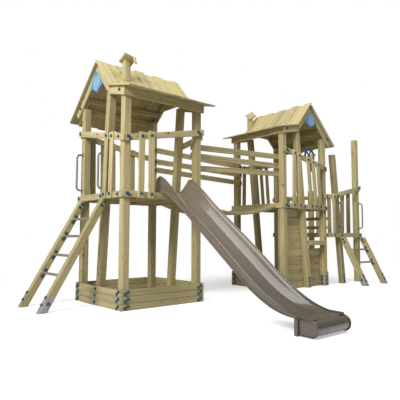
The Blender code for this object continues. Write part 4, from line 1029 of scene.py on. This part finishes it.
def rim_fixings(fixings):
    """Pairs through every plank of the sandbox ring and of the right tower's rim."""
    left_sides = ((-RIM_OUT, -1), (TOWER_LONG + RIM_OUT, 1))
    right_sides = ((SECOND_X - RIM_OUT, -1), (FAR_X + RIM_OUT, 1))
    for z in [PLANK / 2 + PLANK * k for k in range(3)]:
        for across in (0.0, TOWER_LONG):
            fixings.pair("sandbox", "xz", -BEAM_OUT, -1, across, z, 0.021, 0.012)
            fixings.pair("sandbox", "xz", TOWER_DEEP + BEAM_OUT, 1, across, z, 0.021, 0.012)
        for across in (0.0, TOWER_DEEP):
            for group, sides in (("sandbox", left_sides), ("right_rim", right_sides)):
                for level, outward in sides:
                    fixings.pair(group, "yz", level, outward, across, z, -0.019, 0.015)
        lean_y = 0.605 - 0.0794 * z
        for level, outward in left_sides:
            fixings.on_wall("sandbox", "yz", level, outward, lean_y, z)
        for across in (SECOND_X, FAR_X):
            fixings.pair("right_rim", "xz", TOWER_DEEP + BEAM_OUT, 1, across, z, 0.021, 0.012)


def side_fixings(fixings):
    """Caps of the low side deck: its rails, its slats and its beams."""
    for face, across, z in (
            (RAIL_FACE, 0.035, 1.686), (RAIL_FACE, 1.20, 1.917), (SLAT_OUT, 0.26, 1.692),
            (RAIL_FACE, 0.405, 1.700), (BEAM_OUT, 0.02, LOW_BEAM_Z), (SLAT_OUT, 0.25, LOW_BEAM_Z),
            (BEAM_OUT, 0.525, LOW_BEAM_Z), (BEAM_OUT, 1.20, LOW_BEAM_Z)):
        fixings.on_wall("side_rails", "xz", -face, -1, FAR_X + across, z)
    fixings.railing("side_rails", "yz", SIDE_X + FACE, 1, SIDE_RAIL, (0.0, TOWER_DEEP), SIDE_SLATS,
                    LOW_BEAM_Z)
    slats = [(FAR_X + v, FAR_X + v - 0.012) for v in (0.17, 0.34, 0.51, 0.68, 0.85, 1.02)]
    fixings.railing("side_rails", "xz", BACK_FACE, 1,
                    ((FAR_X - FACE, 1.68), (SIDE_X + FACE, 1.80)), (FAR_X, SIDE_X), slats,
                    LOW_BEAM_Z)


def bridge_fixings(fixings):
    """One cap at each end of every bridge rail, on the face towards the walkway's front."""
    for heights, level, outward in ((((2.325, 2.255), (2.137, 2.103), (2.002, 1.943)),
                                     TOWER_DEEP - BEAM_OUT, -1),
                                    (((2.233, 2.317), (2.102, 2.153), (1.92, 2.015)),
                                     BEAM_OUT, 1)):
        for start_z, end_z in heights:
            fixings.on_wall("bridge_rails", "xz", level, outward, TOWER_LONG, start_z)
            fixings.on_wall("bridge_rails", "xz", level, outward, SECOND_X, end_z)


def roof_fixings(fixings):
    """Caps through the kick boards and the long barge boards into the posts."""
    for axes, shift, length, *_ in ROOFS.values():
        for level, outward in ((-BEAM_OUT, -1), (length + BEAM_OUT, 1)):
            fixings.on_wall("roof_frames", axes, level, outward, shift + 0.040, 2.818)
            fixings.on_wall("roof_frames", axes, level, outward,
                            shift + (1.155 if axes == "yz" else 1.260), 2.800)


def ladder_fixings(fixings):
    """Two caps on every rung plate, two at each rail's head and three on each shoe."""
    for kind, ladder in LADDERS.items():
        group, across, faces = kind + "_ladder", ladder.across, ladder.faces
        for height in ladder.rungs:
            for face, outward in ((faces[1], 1), (faces[2], -1)):
                for step in (-0.043, 0.043):
                    place = ladder.middle(height) + ladder.up * step
                    fixings.put(group, place + across * (face + outward * 0.005), across * outward)
        for face, outward in ((faces[0], -1), (faces[2], -1), (faces[1], 1), (faces[3], 1)):
            for z, back in ((ladder.bolts_z, 0.050), (ladder.bolts_z - 0.045, 0.036)):
                fixings.put(group, ladder.front(z, back) + across * face, across * outward)
        for low, high in (faces[:2], faces[2:]):
            for z in (0.095, 0.180):
                place = ladder.front(z) + across * (low + high) / 2 + ladder.out * 0.003
                fixings.put(group, place, ladder.out)
        for face, outward in ((faces[0] - 0.003, -1), (faces[3] + 0.003, 1)):
            fixings.put(group, ladder.middle(0.11) + across * face, across * outward)


# Foot plates: wall, place along it, level and outward side of the post's face, lean of the post
FOOT_PLATES = (("xz", SECOND_X + 0.672, -FACE, -1, -0.1053),
               ("xz", FAR_X, -FACE, -1, 0.0), ("yz", 0.0, FAR_X - FACE, -1, 0.0),
               ("xz", SIDE_X, -FACE, -1, 0.0), ("yz", 0.0, SIDE_X + FACE, 1, 0.0),
               ("xz", SIDE_X, BACK_FACE, 1, 0.0), ("xz", FAR_X + 0.63, -FACE, -1, -0.1107))


def foot_fixings(fixings):
    """Three caps up the middle of every foot plate."""
    for axes, across, face, outward, lean in FOOT_PLATES:
        for z in (0.045, 0.110, 0.175):
            fixings.on_wall("foot_plates", axes, face + outward * 0.003, outward,
                            across + lean * z, z)


def cap_shape(radius, height):
    """Low dome on a rolled foot, with a dimple in its crown, turned round its middle."""
    share = np.linspace(0, math.pi / 2, 6)
    dome = np.stack([0.90 * radius * np.cos(share),
                     0.3 * height + 0.7 * height * np.sin(share)], axis=1)[:-1]
    foot = [(0.97 * radius, 0.0002), (radius, 0.10 * height), (0.97 * radius, 0.24 * height)]
    dimple = [(0.14 * radius, 0.990 * height), (0.10 * radius, 0.93 * height)]
    return turned(np.concatenate([foot, dome, dimple]), 16)


class PLAYTOWER_OT_fixings(bpy.types.Operator):
    """Set a domed plastic cap on every bolt"""
    bl_idname = "playtower.fixings"
    bl_label = "Bolt caps"

    def execute(self, context):
        settings = context.scene.playtower_fixings
        material = moulded("petrol cap plastic", tuple(settings.cap_colour), 0.30)
        cap = cap_shape(settings.cap_radius, settings.cap_height)
        for group, entries in fixing_places().items():
            places, ways = np.array(entries, float).transpose(1, 0, 2)
            new_piece(group + "_bolt_caps", [repeated(cap, places, ways)], material)
        return {"FINISHED"}


class PLAYTOWER_OT_metalwork(bpy.types.Operator):
    """Sheathe the rungs, and set the rung plates, ladder shoes and foot plates"""
    bl_idname = "playtower.metalwork"
    bl_label = "Rungs, shoes and plates"

    def execute(self, context):
        moulded_settings = context.scene.playtower_moulded
        coated = coated_steel("coated rung steel", tuple(moulded_settings.tube_colour), 0.25, 0.45)
        plate_colour = tuple(context.scene.playtower_fixings.plate_colour)
        zinc = coated_steel("zinc plate", plate_colour, 0.35, 0.50, 0.12)
        for kind, ladder in LADDERS.items():
            new_piece(kind + "_ladder_rungs", rung_shapes(ladder), coated)
            new_piece(kind + "_ladder_shoes", shoe_shapes(ladder), zinc)
        new_piece("foot_plates", foot_plate_shapes(), zinc)
        return {"FINISHED"}


def rung_shapes(ladder):
    """Round bars with a welded collar at each end, and the long plates they are welded to."""
    across, faces = ladder.across, ladder.faces
    spread = faces[2] - faces[1]
    ends = np.array((0.004, 0.010, 0.016, 0.022))
    along = np.concatenate([ends, np.linspace(0.05, spread - 0.05, 8), spread - ends[::-1]])
    radius = np.full(len(along), 0.0175)
    radius[:3] = radius[:-4:-1] = (0.0235, 0.0215, 0.0185)
    shape = plate(rounded_outline(0.140, 0.054, 0.026), 0.005, 0.0015)
    bars, plates = [], []
    for height in ladder.rungs:
        middle = ladder.middle(height)
        bars.append(swept_tube(middle + across * (faces[1] + along)[:, None], radius, 18))
        for face, outward in ((faces[1], 1), (faces[2], -1)):
            plates.append(placed(shape, middle + across * face, across * outward, ladder.up))
    return bars + plates


def shoe_shapes(ladder):
    """L-shaped steel shoes: a level section round the rail's corner, moved up along the rail."""
    run, across, faces = ladder.run, ladder.across, ladder.faces
    thick, bend, gap = 0.003, 0.006, 0.0003
    foot, back, front = ladder.foot, ladder.foot + LADDER_WIDE, ladder.foot - thick * 1.15
    angle = np.linspace(0, math.pi / 2, 5)[:, None]
    way = run / ladder.slope + Z_WAY
    shapes = []
    for inner, outer in ((faces[1], faces[0]), (faces[2], faces[3])):
        sign = 1.0 if outer < inner else -1.0
        outside = [run * back + across * (outer - sign * thick),
                   *(run * (front + bend * (1 - np.sin(angle)))
                     + across * (outer - sign * (thick - bend * (1 - np.cos(angle))))),
                   run * front + across * inner]
        inside = [run * (foot - gap) + across * inner,
                  run * (foot - gap) + across * (outer - sign * gap),
                  run * back + across * (outer - sign * gap)]
        section = np.array(outside + inside)
        shapes.append(swept_section(section, way, (0.001, 0.012, 0.10, 0.20)))
    return shapes


def foot_plate_shapes():
    """Upright plates on the feet of the posts, leaning with the post where it leans."""
    outline = rounded_outline(0.200, 0.072, 0.010)
    middle_z = 0.105
    shapes = []
    for axes, across, face, outward, lean in FOOT_PLATES:
        way = in_wall(axes, lean, 1.0)
        way /= np.linalg.norm(way)
        along, other = WALLS[axes]
        place = along * (across + lean * middle_z) + other * face + Z_WAY * middle_z
        shapes.append(placed(plate(outline, 0.003, 0.001), place, other * outward, way))
    return shapes


# Signs: name, gable plane and its shift, middle of the oval, right, top and left corner of the back
SIGNS = (("left_tower_sign", "yz", 0.0, (0.655, 3.062),
          ((0.842, 3.013), (0.702, 3.250), (0.497, 3.014))),
         ("right_tower_sign", "xz", SECOND_X, (0.740, 3.078),
          ((0.924, 3.043), (0.744, 3.239), (0.552, 3.016))))


class PLAYTOWER_OT_signs(bpy.types.Operator):
    """Hang a bare blue sign, an oval on a winged back plate, under each gable"""
    bl_idname = "playtower.signs"
    bl_label = "Gable signs"

    def execute(self, context):
        deep = tuple(context.scene.playtower_moulded.sign_colour)
        pale = tuple(0.62 * value + 0.20 for value in deep)
        face = moulded("sky blue sign face", pale, 0.42, 0.10)
        back = moulded("deep blue sign back", deep, 0.40, 0.08)
        for name, axes, shift, centre, corners in SIGNS:
            new_piece(name + "_back", [sign_back(axes, centre, corners, shift)], back)
            new_piece(name + "_face", sign_face(axes, centre, shift), face)
        return {"FINISHED"}


def in_gable(axes, flat, height, shift):
    """Points of a flat outline (across, up) set a height in front of a gable's boards."""
    along, other = WALLS[axes]
    return (flat[:, :1] + shift) * along - other * (RAIL_FACE + height) + flat[:, 1:] * Z_WAY


def sign_back(axes, centre, corners, shift):
    """Winged plate: three corners joined by edges that bow in below and out above."""
    right, top, left = [np.array(corner) for corner in corners]
    share = np.linspace(0, 1, 12)[:, None]
    low = centre + np.array((-0.015, -0.145))

    def edge(start, end, bow):
        """Straight run plus a half sine of the bow, without its last point."""
        return (start + (end - start) * share + bow * np.sin(math.pi * share))[:-1]

    outline = np.concatenate([edge(right, top, np.array((0.010, 0.006))),
                              edge(top, left, np.array((-0.010, 0.006))),
                              edge(left, low, np.array((0.0, 0.012))),
                              edge(low, right, np.array((0.0, 0.012)))])
    return loft([in_gable(axes, outline + (centre - outline) * inset, height, shift)
                 for inset, height in ((0.0, 0.0), (0.0, 0.004), (0.012, 0.006))])


def sign_face(axes, centre, shift):
    """Oval disc with a raised rim and a faint dished middle, and four small screw domes."""
    ring = circle(64)[1] * (0.088, 0.112)
    rows = [in_gable(axes, centre + ring * share, height, shift) for share, height in (
        (1.0, 0.006), (1.0, 0.012), (0.97, 0.0145), (0.93, 0.0145), (0.90, 0.0120),
        (0.60, 0.0125), (0.30, 0.0130), (0.02, 0.0132))]
    screw = turned([(0.0055, 0.0), (0.0050, 0.0018), (0.0030, 0.0028), (0.0008, 0.0030)], 12)
    corners = centre + np.array(((0.0, 0.090), (0.0, -0.090), (0.068, 0.0), (-0.068, 0.0)))
    places = in_gable(axes, corners, 0.0120, shift)
    return [loft(rows), repeated(screw, places, -WALLS[axes][1])]


class PLAYTOWER_OT_moulded(bpy.types.Operator):
    """Build the slide, the grab handles and the ship's wheel in full detail"""
    bl_idname = "playtower.moulded"
    bl_label = "Slide, handles and wheel"

    def execute(self, context):
        settings = context.scene.playtower_moulded
        # the slide's low run-out gets painted shade, down to half its colour
        plastic = moulded("taupe slide plastic", tuple(settings.slide_colour), 0.27, 0.05, 0.35,
                          painted_low_shade=0.50)
        slide = new_piece("slide_moulding", slide_shapes(), plastic,
                          smooth_angle=50)
        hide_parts("slide")
        tube = coated_steel("coated tube", tuple(settings.tube_colour), 0.25, 0.40)
        for node, values in HANDLES.items():
            item = new_piece(node + "_tube", handle_shapes(*values), tube)
            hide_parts(node)
        paint = moulded("petrol wheel plastic", tuple(settings.wheel_colour), 0.32, 0.06, 0.1)
        wheel = new_piece("wheel_moulding", wheel_shapes(), paint, body="wheel",
                          smooth_angle=50)
        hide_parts("ships_wheel")
        return {"FINISHED"}


# Slide: its middle in x, half width, bead radius and skin; its exit; rim and floor lines (y, z)
SLIDE_MIDDLE, SLIDE_HALF, SLIDE_BEAD, SLIDE_SKIN = 0.775, 0.275, 0.013, 0.008
SLIDE_RUN, EXIT_LENGTH, EXIT_RADIUS, EXIT_Z = 2.437, 0.175, 0.083, 0.085
SLIDE_RIM = np.array(((0.050, 1.500), (0.045, 1.600), (0.020, 1.690), (-0.020, 1.725),
                      (-0.060, 1.725), (-0.110, 1.700), (-0.170, 1.662), (-0.290, 1.570),
                      (-0.410, 1.474), (-0.590, 1.318), (-0.840, 1.130), (-1.090, 0.944),
                      (-1.270, 0.806), (-1.440, 0.672), (-1.580, 0.558), (-1.680, 0.482),
                      (-1.780, 0.410), (-1.880, 0.346), (-2.000, 0.278), (-2.120, 0.222),
                      (-2.240, 0.184), (-2.340, 0.170), (-2.440, 0.166)))
SLIDE_FLOOR = np.array(((0.050, 1.505), (-0.110, 1.505), (-0.170, 1.490), (-0.250, 1.440),
                        (-0.520, 1.262), (-1.420, 0.562), (-1.600, 0.420), (-1.750, 0.320),
                        (-1.890, 0.245), (-2.010, 0.194), (-2.130, 0.166), (-2.260, 0.152),
                        (-2.440, 0.147)))


def smoothed(line, count, rounds):
    """The line sampled evenly along its length and relaxed towards its neighbours' means."""
    steps = np.concatenate([[0], np.cumsum(np.linalg.norm(np.diff(line, axis=0), axis=1))])
    even = np.linspace(0, steps[-1], count)
    fine = np.stack([np.interp(even, steps, line[:, k]) for k in (0, 1)], axis=1)
    for _ in range(rounds):
        fine[1:-1] = 0.25 * fine[:-2] + 0.5 * fine[1:-1] + 0.25 * fine[2:]
    return fine


def slide_rows():
    """Rows down the chute: y, rim height and floor height, finer round the ears."""
    rim = smoothed(SLIDE_RIM, 420, 60)
    floor = smoothed(SLIDE_FLOOR, 400, 200)
    picked = np.unique(np.concatenate([np.arange(0, 90, 2), np.arange(90, 419, 4), [419]]))
    y, rim_z = rim[picked, 0], rim[picked, 1]
    floor_z = np.interp(-y, -floor[:, 0], floor[:, 1])
    return y, np.maximum(rim_z, floor_z + 2 * SLIDE_BEAD), floor_z


def slide_section(rim_z, floor_z):
    """Half sections: trough floor, crease, wall with a fine step, rolled lip, skirt, underside.

    One x for every column and one z for every row and column, from the heights of each row."""
    rim, low = rim_z[:, None], floor_z[:, None]
    skirt = SLIDE_HALF - SLIDE_BEAD
    trough = low + 1.5 * SLIDE_SKIN
    crease = 0.105
    wall = skirt - SLIDE_SKIN - crease
    height = rim - trough
    across = np.array((0.0, 0.25, 0.5, 0.75, 0.94, 1.0)) * crease
    share = np.array((0.02, 0.06, 0.14, 0.26, 0.40, 0.55, 0.66, 0.68, 0.80, 0.92))
    bow = np.array((0.006, 0.035, 0.10, 0.205, 0.345, 0.505, 0.625, 0.665, 0.79, 0.92))
    angle = np.radians(np.linspace(205, -60, 12))
    skirt_x = skirt + np.array((0.004, 0.004, 0.004, 0.007, 0.008, 0.004, -0.004, -0.004))
    reach = np.minimum(rim - 0.018, low + 0.9 * (rim - low))
    skirt_z = (reach, 0.5 * (reach + low), low + 0.012, low + 0.008, low + 0.002, low, low,
               low + 0.55 * (reach - low))
    under_share = np.array((0.88, 0.66, 0.40, 0.14))
    under_x = np.minimum(crease + wall * under_share + 0.006, skirt - 0.010)
    under_z = np.maximum(trough + height * np.array((0.86, 0.60, 0.33, 0.08)) - 0.006, low + 0.003)
    x = np.concatenate([across, crease + wall * share, skirt + SLIDE_BEAD * np.cos(angle), skirt_x,
                        under_x, [crease, 0.0]])
    z = np.concatenate([trough + np.zeros(6), trough + height * bow,
                        rim + SLIDE_BEAD * np.sin(angle), *skirt_z, under_z,
                        trough - SLIDE_SKIN + np.zeros(2)], axis=1)
    return x, z


def slide_shapes():
    """Chute, exit box, its two rolled D-shaped rims, its recessed side panels and its feet."""
    y, rim_z, floor_z = slide_rows()
    x, z = slide_section(rim_z, floor_z)
    x = np.concatenate([x, -x[::-1][1:-1]])
    z = np.concatenate([z, z[:, ::-1][:, 1:-1]], axis=1)
    chute = np.stack(np.broadcast_arrays(SLIDE_MIDDLE + x, y[:, None], z), axis=2)
    return [loft(chute), exit_body(), *exit_side(-1), *exit_side(1)]


def exit_line(inset, steps=24):
    """Closed side outline (y, z) of the exit: a flat back and a half round front."""
    radius = EXIT_RADIUS - inset
    back = EXIT_LENGTH - SLIDE_RUN - inset
    angle = np.linspace(0, math.pi, steps)
    arc = np.stack([-SLIDE_RUN - radius * np.sin(angle), EXIT_Z + radius * np.cos(angle)], axis=1)
    top = np.stack([np.linspace(back, -SLIDE_RUN, 6)[:-1], np.full(5, EXIT_Z + radius)], axis=1)
    low = top[::-1] * (1, 0) + (0, EXIT_Z - radius)
    return np.concatenate([top, arc, low])


def flat_rows(x, line):
    """Points of a side outline (y, z) at one x."""
    return np.column_stack([np.full(len(line), x), line])


def exit_body():
    """The bull-nosed box: its side outline moved across, drawn in a little at both ends."""
    ends = SLIDE_HALF - 0.012
    return loft([flat_rows(SLIDE_MIDDLE + x, exit_line(inset)) for x, inset in (
        (-ends, 0.016), (-ends, 0.012), (-0.9 * ends, 0.0115), (0.0, 0.011),
        (0.9 * ends, 0.0115), (ends, 0.012), (ends, 0.016))])


def exit_side(side):
    """Rolled rim round one side plate, the panel set back inside it and the foot strip."""
    outer = SLIDE_MIDDLE + side * (SLIDE_HALF - 0.006)
    bead = 0.009
    line = exit_line(bead, 32)
    out = line - line.mean(axis=0)
    out /= np.linalg.norm(out, axis=1, keepdims=True)
    ring = []
    for angle in circle(10)[0]:
        flat = line + out * bead * math.cos(angle)
        ring.append(flat_rows(outer + bead * math.sin(angle) * side, flat))
    rim = surface(np.stack(ring), wrap_rows=True, wrap_columns=True)
    panel = loft([flat_rows(outer - side * depth, exit_line(inset, 32)) for inset, depth in (
        (0.010, 0.002), (0.020, 0.004), (0.026, 0.0015), (0.030, 0.0015), (0.078, 0.0015))])
    back = EXIT_LENGTH - SLIDE_RUN
    strip_x = SLIDE_MIDDLE + side * (SLIDE_HALF + 0.003)
    outline = rounded_outline(0.026, 0.044, 0.007)
    section = np.column_stack([strip_x + outline[:, 0], back - 0.0155 + outline[:, 1],
                               np.zeros(len(outline))])
    foot = swept_section(section, Z_WAY, (0.0005, 0.05, 0.12, 0.157))
    return [rim, panel, foot]


# Handles: place of the post, way out of it, heights of the lower and the upper end
HANDLES = {"left_ladder_handle_back": ((0.0, TOWER_DEEP - 0.005, 0.0), -X_WAY, 1.58, 2.10),
           "left_ladder_handle_front": ((0.0, 0.4620, 0.0), -X_WAY, 1.56, 2.04),
           "right_ladder_handle_right": ((SIDE_X + 0.005, 0.0, 0.0), -Y_WAY, 1.09, 1.60),
           "right_ladder_handle_left": ((4.8406, 0.0, 0.0), -Y_WAY, 1.12, 1.58)}


def handle_shapes(start, out, low, high):
    """Bent tube between two turned flanges, each held by three small domed screws."""
    base = np.array(start) + out * (FACE + 0.0003)
    reach = base + out * 0.090
    corners = [base + Z_WAY * low + out * 0.002, reach + Z_WAY * low, reach + Z_WAY * high,
               base + Z_WAY * high + out * 0.002]
    shapes = [swept_tube(rounded_path(corners, 0.050, 12), 0.014, 22)]
    flange = turned([(0.0335, 0.0), (0.034, 0.0012), (0.0325, 0.0040), (0.022, 0.0058),
                     (0.0170, 0.0075), (0.0145, 0.0110)], 32)
    screw = turned([(0.0046, 0.0), (0.0042, 0.0015), (0.0024, 0.0024), (0.0006, 0.0026)], 10)
    ends = np.array([base + Z_WAY * height for height in (low, high)])
    shapes.append(repeated(flange, ends, out))
    across = np.cross(out, Z_WAY)
    angle = np.radians((90, 210, 330))[:, None]
    spots = 0.0262 * (np.cos(angle) * across + np.sin(angle) * Z_WAY) + out * 0.0046
    shapes.append(repeated(screw, (ends[:, None] + spots[None]).reshape(-1, 3), out))
    return shapes


def wheel_shapes():
    """Rim of rounded square section with small studs on both faces, six turned spokes with grips,
    domed hub.
    """
    centre = np.array((WHEEL_X, 0.012, WHEEL_Z))
    power, rim_radius = 0.7, 0.130
    round_section = circle(28)[1]
    section = np.sign(round_section) * np.abs(round_section) ** power * 0.0175
    round_way = circle(96)[0][:, None]
    radius = rim_radius + section[None, :, 0]
    rim = np.stack([radius * np.cos(round_way), np.broadcast_to(section[None, :, 1], (96, 28)),
                    radius * np.sin(round_way)], axis=2)
    shapes = [surface(rim + centre, wrap_rows=True, wrap_columns=True)]
    spoke = turned([(0.0100, 0.020), (0.0115, 0.034), (0.0140, 0.050), (0.0150, 0.070),
                    (0.0140, 0.090), (0.0120, 0.112), (0.0120, 0.148), (0.0150, 0.152),
                    (0.0138, 0.156), (0.0172, 0.164), (0.0188, 0.172), (0.0180, 0.179),
                    (0.0145, 0.185), (0.0080, 0.1880)], 18)
    ways = 2 * math.pi * (np.arange(6) + 0.25) / 6
    directions = np.stack([np.cos(ways), 0 * ways, np.sin(ways)], axis=1)
    shapes.append(repeated(spoke, np.broadcast_to(centre, (6, 3)), directions))
    hub = turned([(0.0106, 0.0196), (0.0106, -0.0180), (0.0210, -0.0180), (0.0215, -0.0220),
                  (0.0270, -0.0215), (0.0335, -0.0190), (0.0358, -0.0140), (0.0352, -0.0040),
                  (0.0352, 0.0040), (0.0358, 0.0140), (0.0335, 0.0190), (0.0270, 0.0215),
                  (0.0200, 0.0225), (0.0185, 0.0250), (0.0140, 0.0272), (0.0030, 0.0280)], 36)
    shapes.append(repeated(hub, centre, Y_WAY))
    knob = turned([(0.0040, 0.0), (0.0036, 0.0012), (0.0010, 0.0020)], 10)
    knob_way = ways + math.pi / 6
    places = centre + rim_radius * np.stack([np.cos(knob_way), 0 * ways, np.sin(knob_way)], axis=1)
    for way in (Y_WAY, -Y_WAY):
        shapes.append(repeated(knob, places + way * 0.0174, way))
    return shapes


class PLAYTOWER_OT_stage(bpy.types.Operator):
    """Floor, soft lamps, white surroundings and the camera of the picture"""
    bl_idname = "playtower.stage"
    bl_label = "Stage"

    def execute(self, context):
        settings = context.scene.playtower_stage
        scene = context.scene
        scene.view_settings.view_transform = "Standard"
        build_floor()
        build_world(scene, settings.fill_strength)
        build_lamps(scene, settings.key_strength)
        build_camera(scene, settings.lens)
        return {"FINISHED"}


def build_floor():
    """Flat floor whose colour goes to pure white away from the object for camera rays."""
    material, r = new_recipe("studio floor")
    place = r.add("ShaderNodeTexCoord").outputs["Object"]
    waver = r.product(r.noise(place, 3.0, 2.0, 0.5), 0.2)
    distance = r.math("ADD", r.vector("LENGTH", place), waver)
    fade = r.between(distance, 2.6, 5.4)
    path = r.add("ShaderNodeLightPath").outputs
    seen = r.math("MAXIMUM", path["Is Camera Ray"], path["Is Glossy Ray"])
    shader = r.tree.nodes["Principled BSDF"]
    r.feed(shader.inputs["Base Color"], r.mix(seen, (0.42, 0.41, 0.39), (0.90, 0.90, 0.90)))
    shader.inputs["Roughness"].default_value = 0.9
    shader.inputs["Specular IOR Level"].default_value = 0.1
    glow = r.add("ShaderNodeEmission").outputs[0]
    lift = r.add("ShaderNodeEmission", None, 0.40).outputs[0]
    lifted = r.add("ShaderNodeAddShader", shader.outputs[0], lift).outputs[0]
    near = r.add("ShaderNodeMixShader", seen, shader.outputs[0], lifted).outputs[0]
    mixed = r.add("ShaderNodeMixShader", r.product(seen, fade), near, glow).outputs[0]
    r.feed(r.tree.nodes["Material Output"].inputs["Surface"], mixed)
    rows = np.linspace(-60.0, 60.0, 5)
    grid = np.stack(np.meshgrid(rows, rows, indexing="ij") + [np.zeros((5, 5))], axis=-1)
    points, faces = surface(grid)
    mesh_object("studio_floor", [(points, [face[::-1] for face in faces])], material)


def build_world(scene, strength):
    """Even pale light from all round, and pure white where the camera sees past the floor."""
    world = bpy.data.worlds.new("studio surroundings")
    world.use_nodes = True
    scene.world = world
    r = Recipe(world.node_tree)
    background = r.tree.nodes["Background"]
    background.inputs["Color"].default_value = (0.97, 0.985, 1.0, 1.0)
    background.inputs["Strength"].default_value = strength
    seen = r.add("ShaderNodeLightPath").outputs["Is Camera Ray"]
    white = r.add("ShaderNodeBackground", (1.0, 1.0, 1.0, 1.0), 1.0).outputs[0]
    mixed = r.add("ShaderNodeMixShader", seen, background.outputs[0], white).outputs[0]
    r.feed(r.tree.nodes["World Output"].inputs["Surface"], mixed)


def build_lamps(scene, strength):
    """A large soft lamp on the left and a softer one above, both turned to the object."""
    for name, place, size, share in (("key lamp", (-10.5, -2.2, 7.0), 4.0, 1.0),
                                     ("top lamp", (0.5, -2.5, 10.0), 6.0, 0.42)):
        data = bpy.data.lights.new(name, "AREA")
        data.size = size
        data.energy = strength * share
        lamp = bpy.data.objects.new(name, data)
        lamp.location = place
        aim = Vector((0.0, 0.0, 1.2)) - Vector(place)
        lamp.rotation_euler = aim.to_track_quat("-Z", "Y").to_euler()
        scene.collection.objects.link(lamp)


def build_camera(scene, lens):
    """Camera solved from the posts, decks and feet in the picture."""
    yaw, pitch, roll = (math.radians(value) for value in (40.7, 4.567, 0.158))
    ahead = np.array((math.sin(yaw) * math.cos(pitch), math.cos(yaw) * math.cos(pitch),
                      math.sin(pitch)))
    level = np.array((math.cos(yaw), -math.sin(yaw), 0.0))
    up = np.cross(level, ahead)
    right = level * math.cos(roll) + up * math.sin(roll)
    up = np.cross(right, ahead)
    matrix = Matrix(np.column_stack([right, up, -ahead]).tolist()).to_4x4()
    data = bpy.data.cameras.new("picture camera")
    data.sensor_fit = "HORIZONTAL"
    data.sensor_width = 36.0
    data.lens = lens
    camera = bpy.data.objects.new("picture camera", data)
    matrix.translation = ORIGIN + np.array((-2.9370, -4.8840, 0.935))
    camera.matrix_world = matrix
    scene.collection.objects.link(camera)
    scene.camera = camera


class PLAYTOWER_PT_panel(bpy.types.Panel):
    """Lists the steps in the order in which they are run"""
    bl_idname = "PLAYTOWER_PT_panel"
    bl_label = "Play tower"
    bl_space_type = "VIEW_3D"
    bl_region_type = "UI"
    bl_category = "Play tower"

    def draw(self, context):
        for step in STEPS:
            self.layout.operator(step.bl_idname)
        for group in ("timber", "fixings", "moulded", "stage"):
            settings = getattr(context.scene, "playtower_" + group)
            for name in type(settings).__annotations__:
                self.layout.prop(settings, name)


SETTINGS = {"timber": TimberSettings, "fixings": FixingSettings, "moulded": MouldedSettings,
            "stage": StageSettings}
STEPS = (PLAYTOWER_OT_timber, PLAYTOWER_OT_moulded, PLAYTOWER_OT_metalwork, PLAYTOWER_OT_fixings,
         PLAYTOWER_OT_signs, PLAYTOWER_OT_stage)


def register():
    """Register the settings, the steps and the panel."""
    for item in (*SETTINGS.values(), *STEPS, PLAYTOWER_PT_panel):
        bpy.utils.register_class(item)
    for name, group in SETTINGS.items():
        setattr(bpy.types.Scene, "playtower_" + name, bpy.props.PointerProperty(type=group))


def unregister():
    """Take the settings, the steps and the panel away again."""
    for name in SETTINGS:
        delattr(bpy.types.Scene, "playtower_" + name)
    for item in reversed((*SETTINGS.values(), *STEPS, PLAYTOWER_PT_panel)):
        bpy.utils.unregister_class(item)


def main():
    """Run every step in order."""
    register()
    for step in STEPS:
        group, name = step.bl_idname.split(".")
        getattr(getattr(bpy.ops, group), name)()


if __name__ == "__main__":
    main()
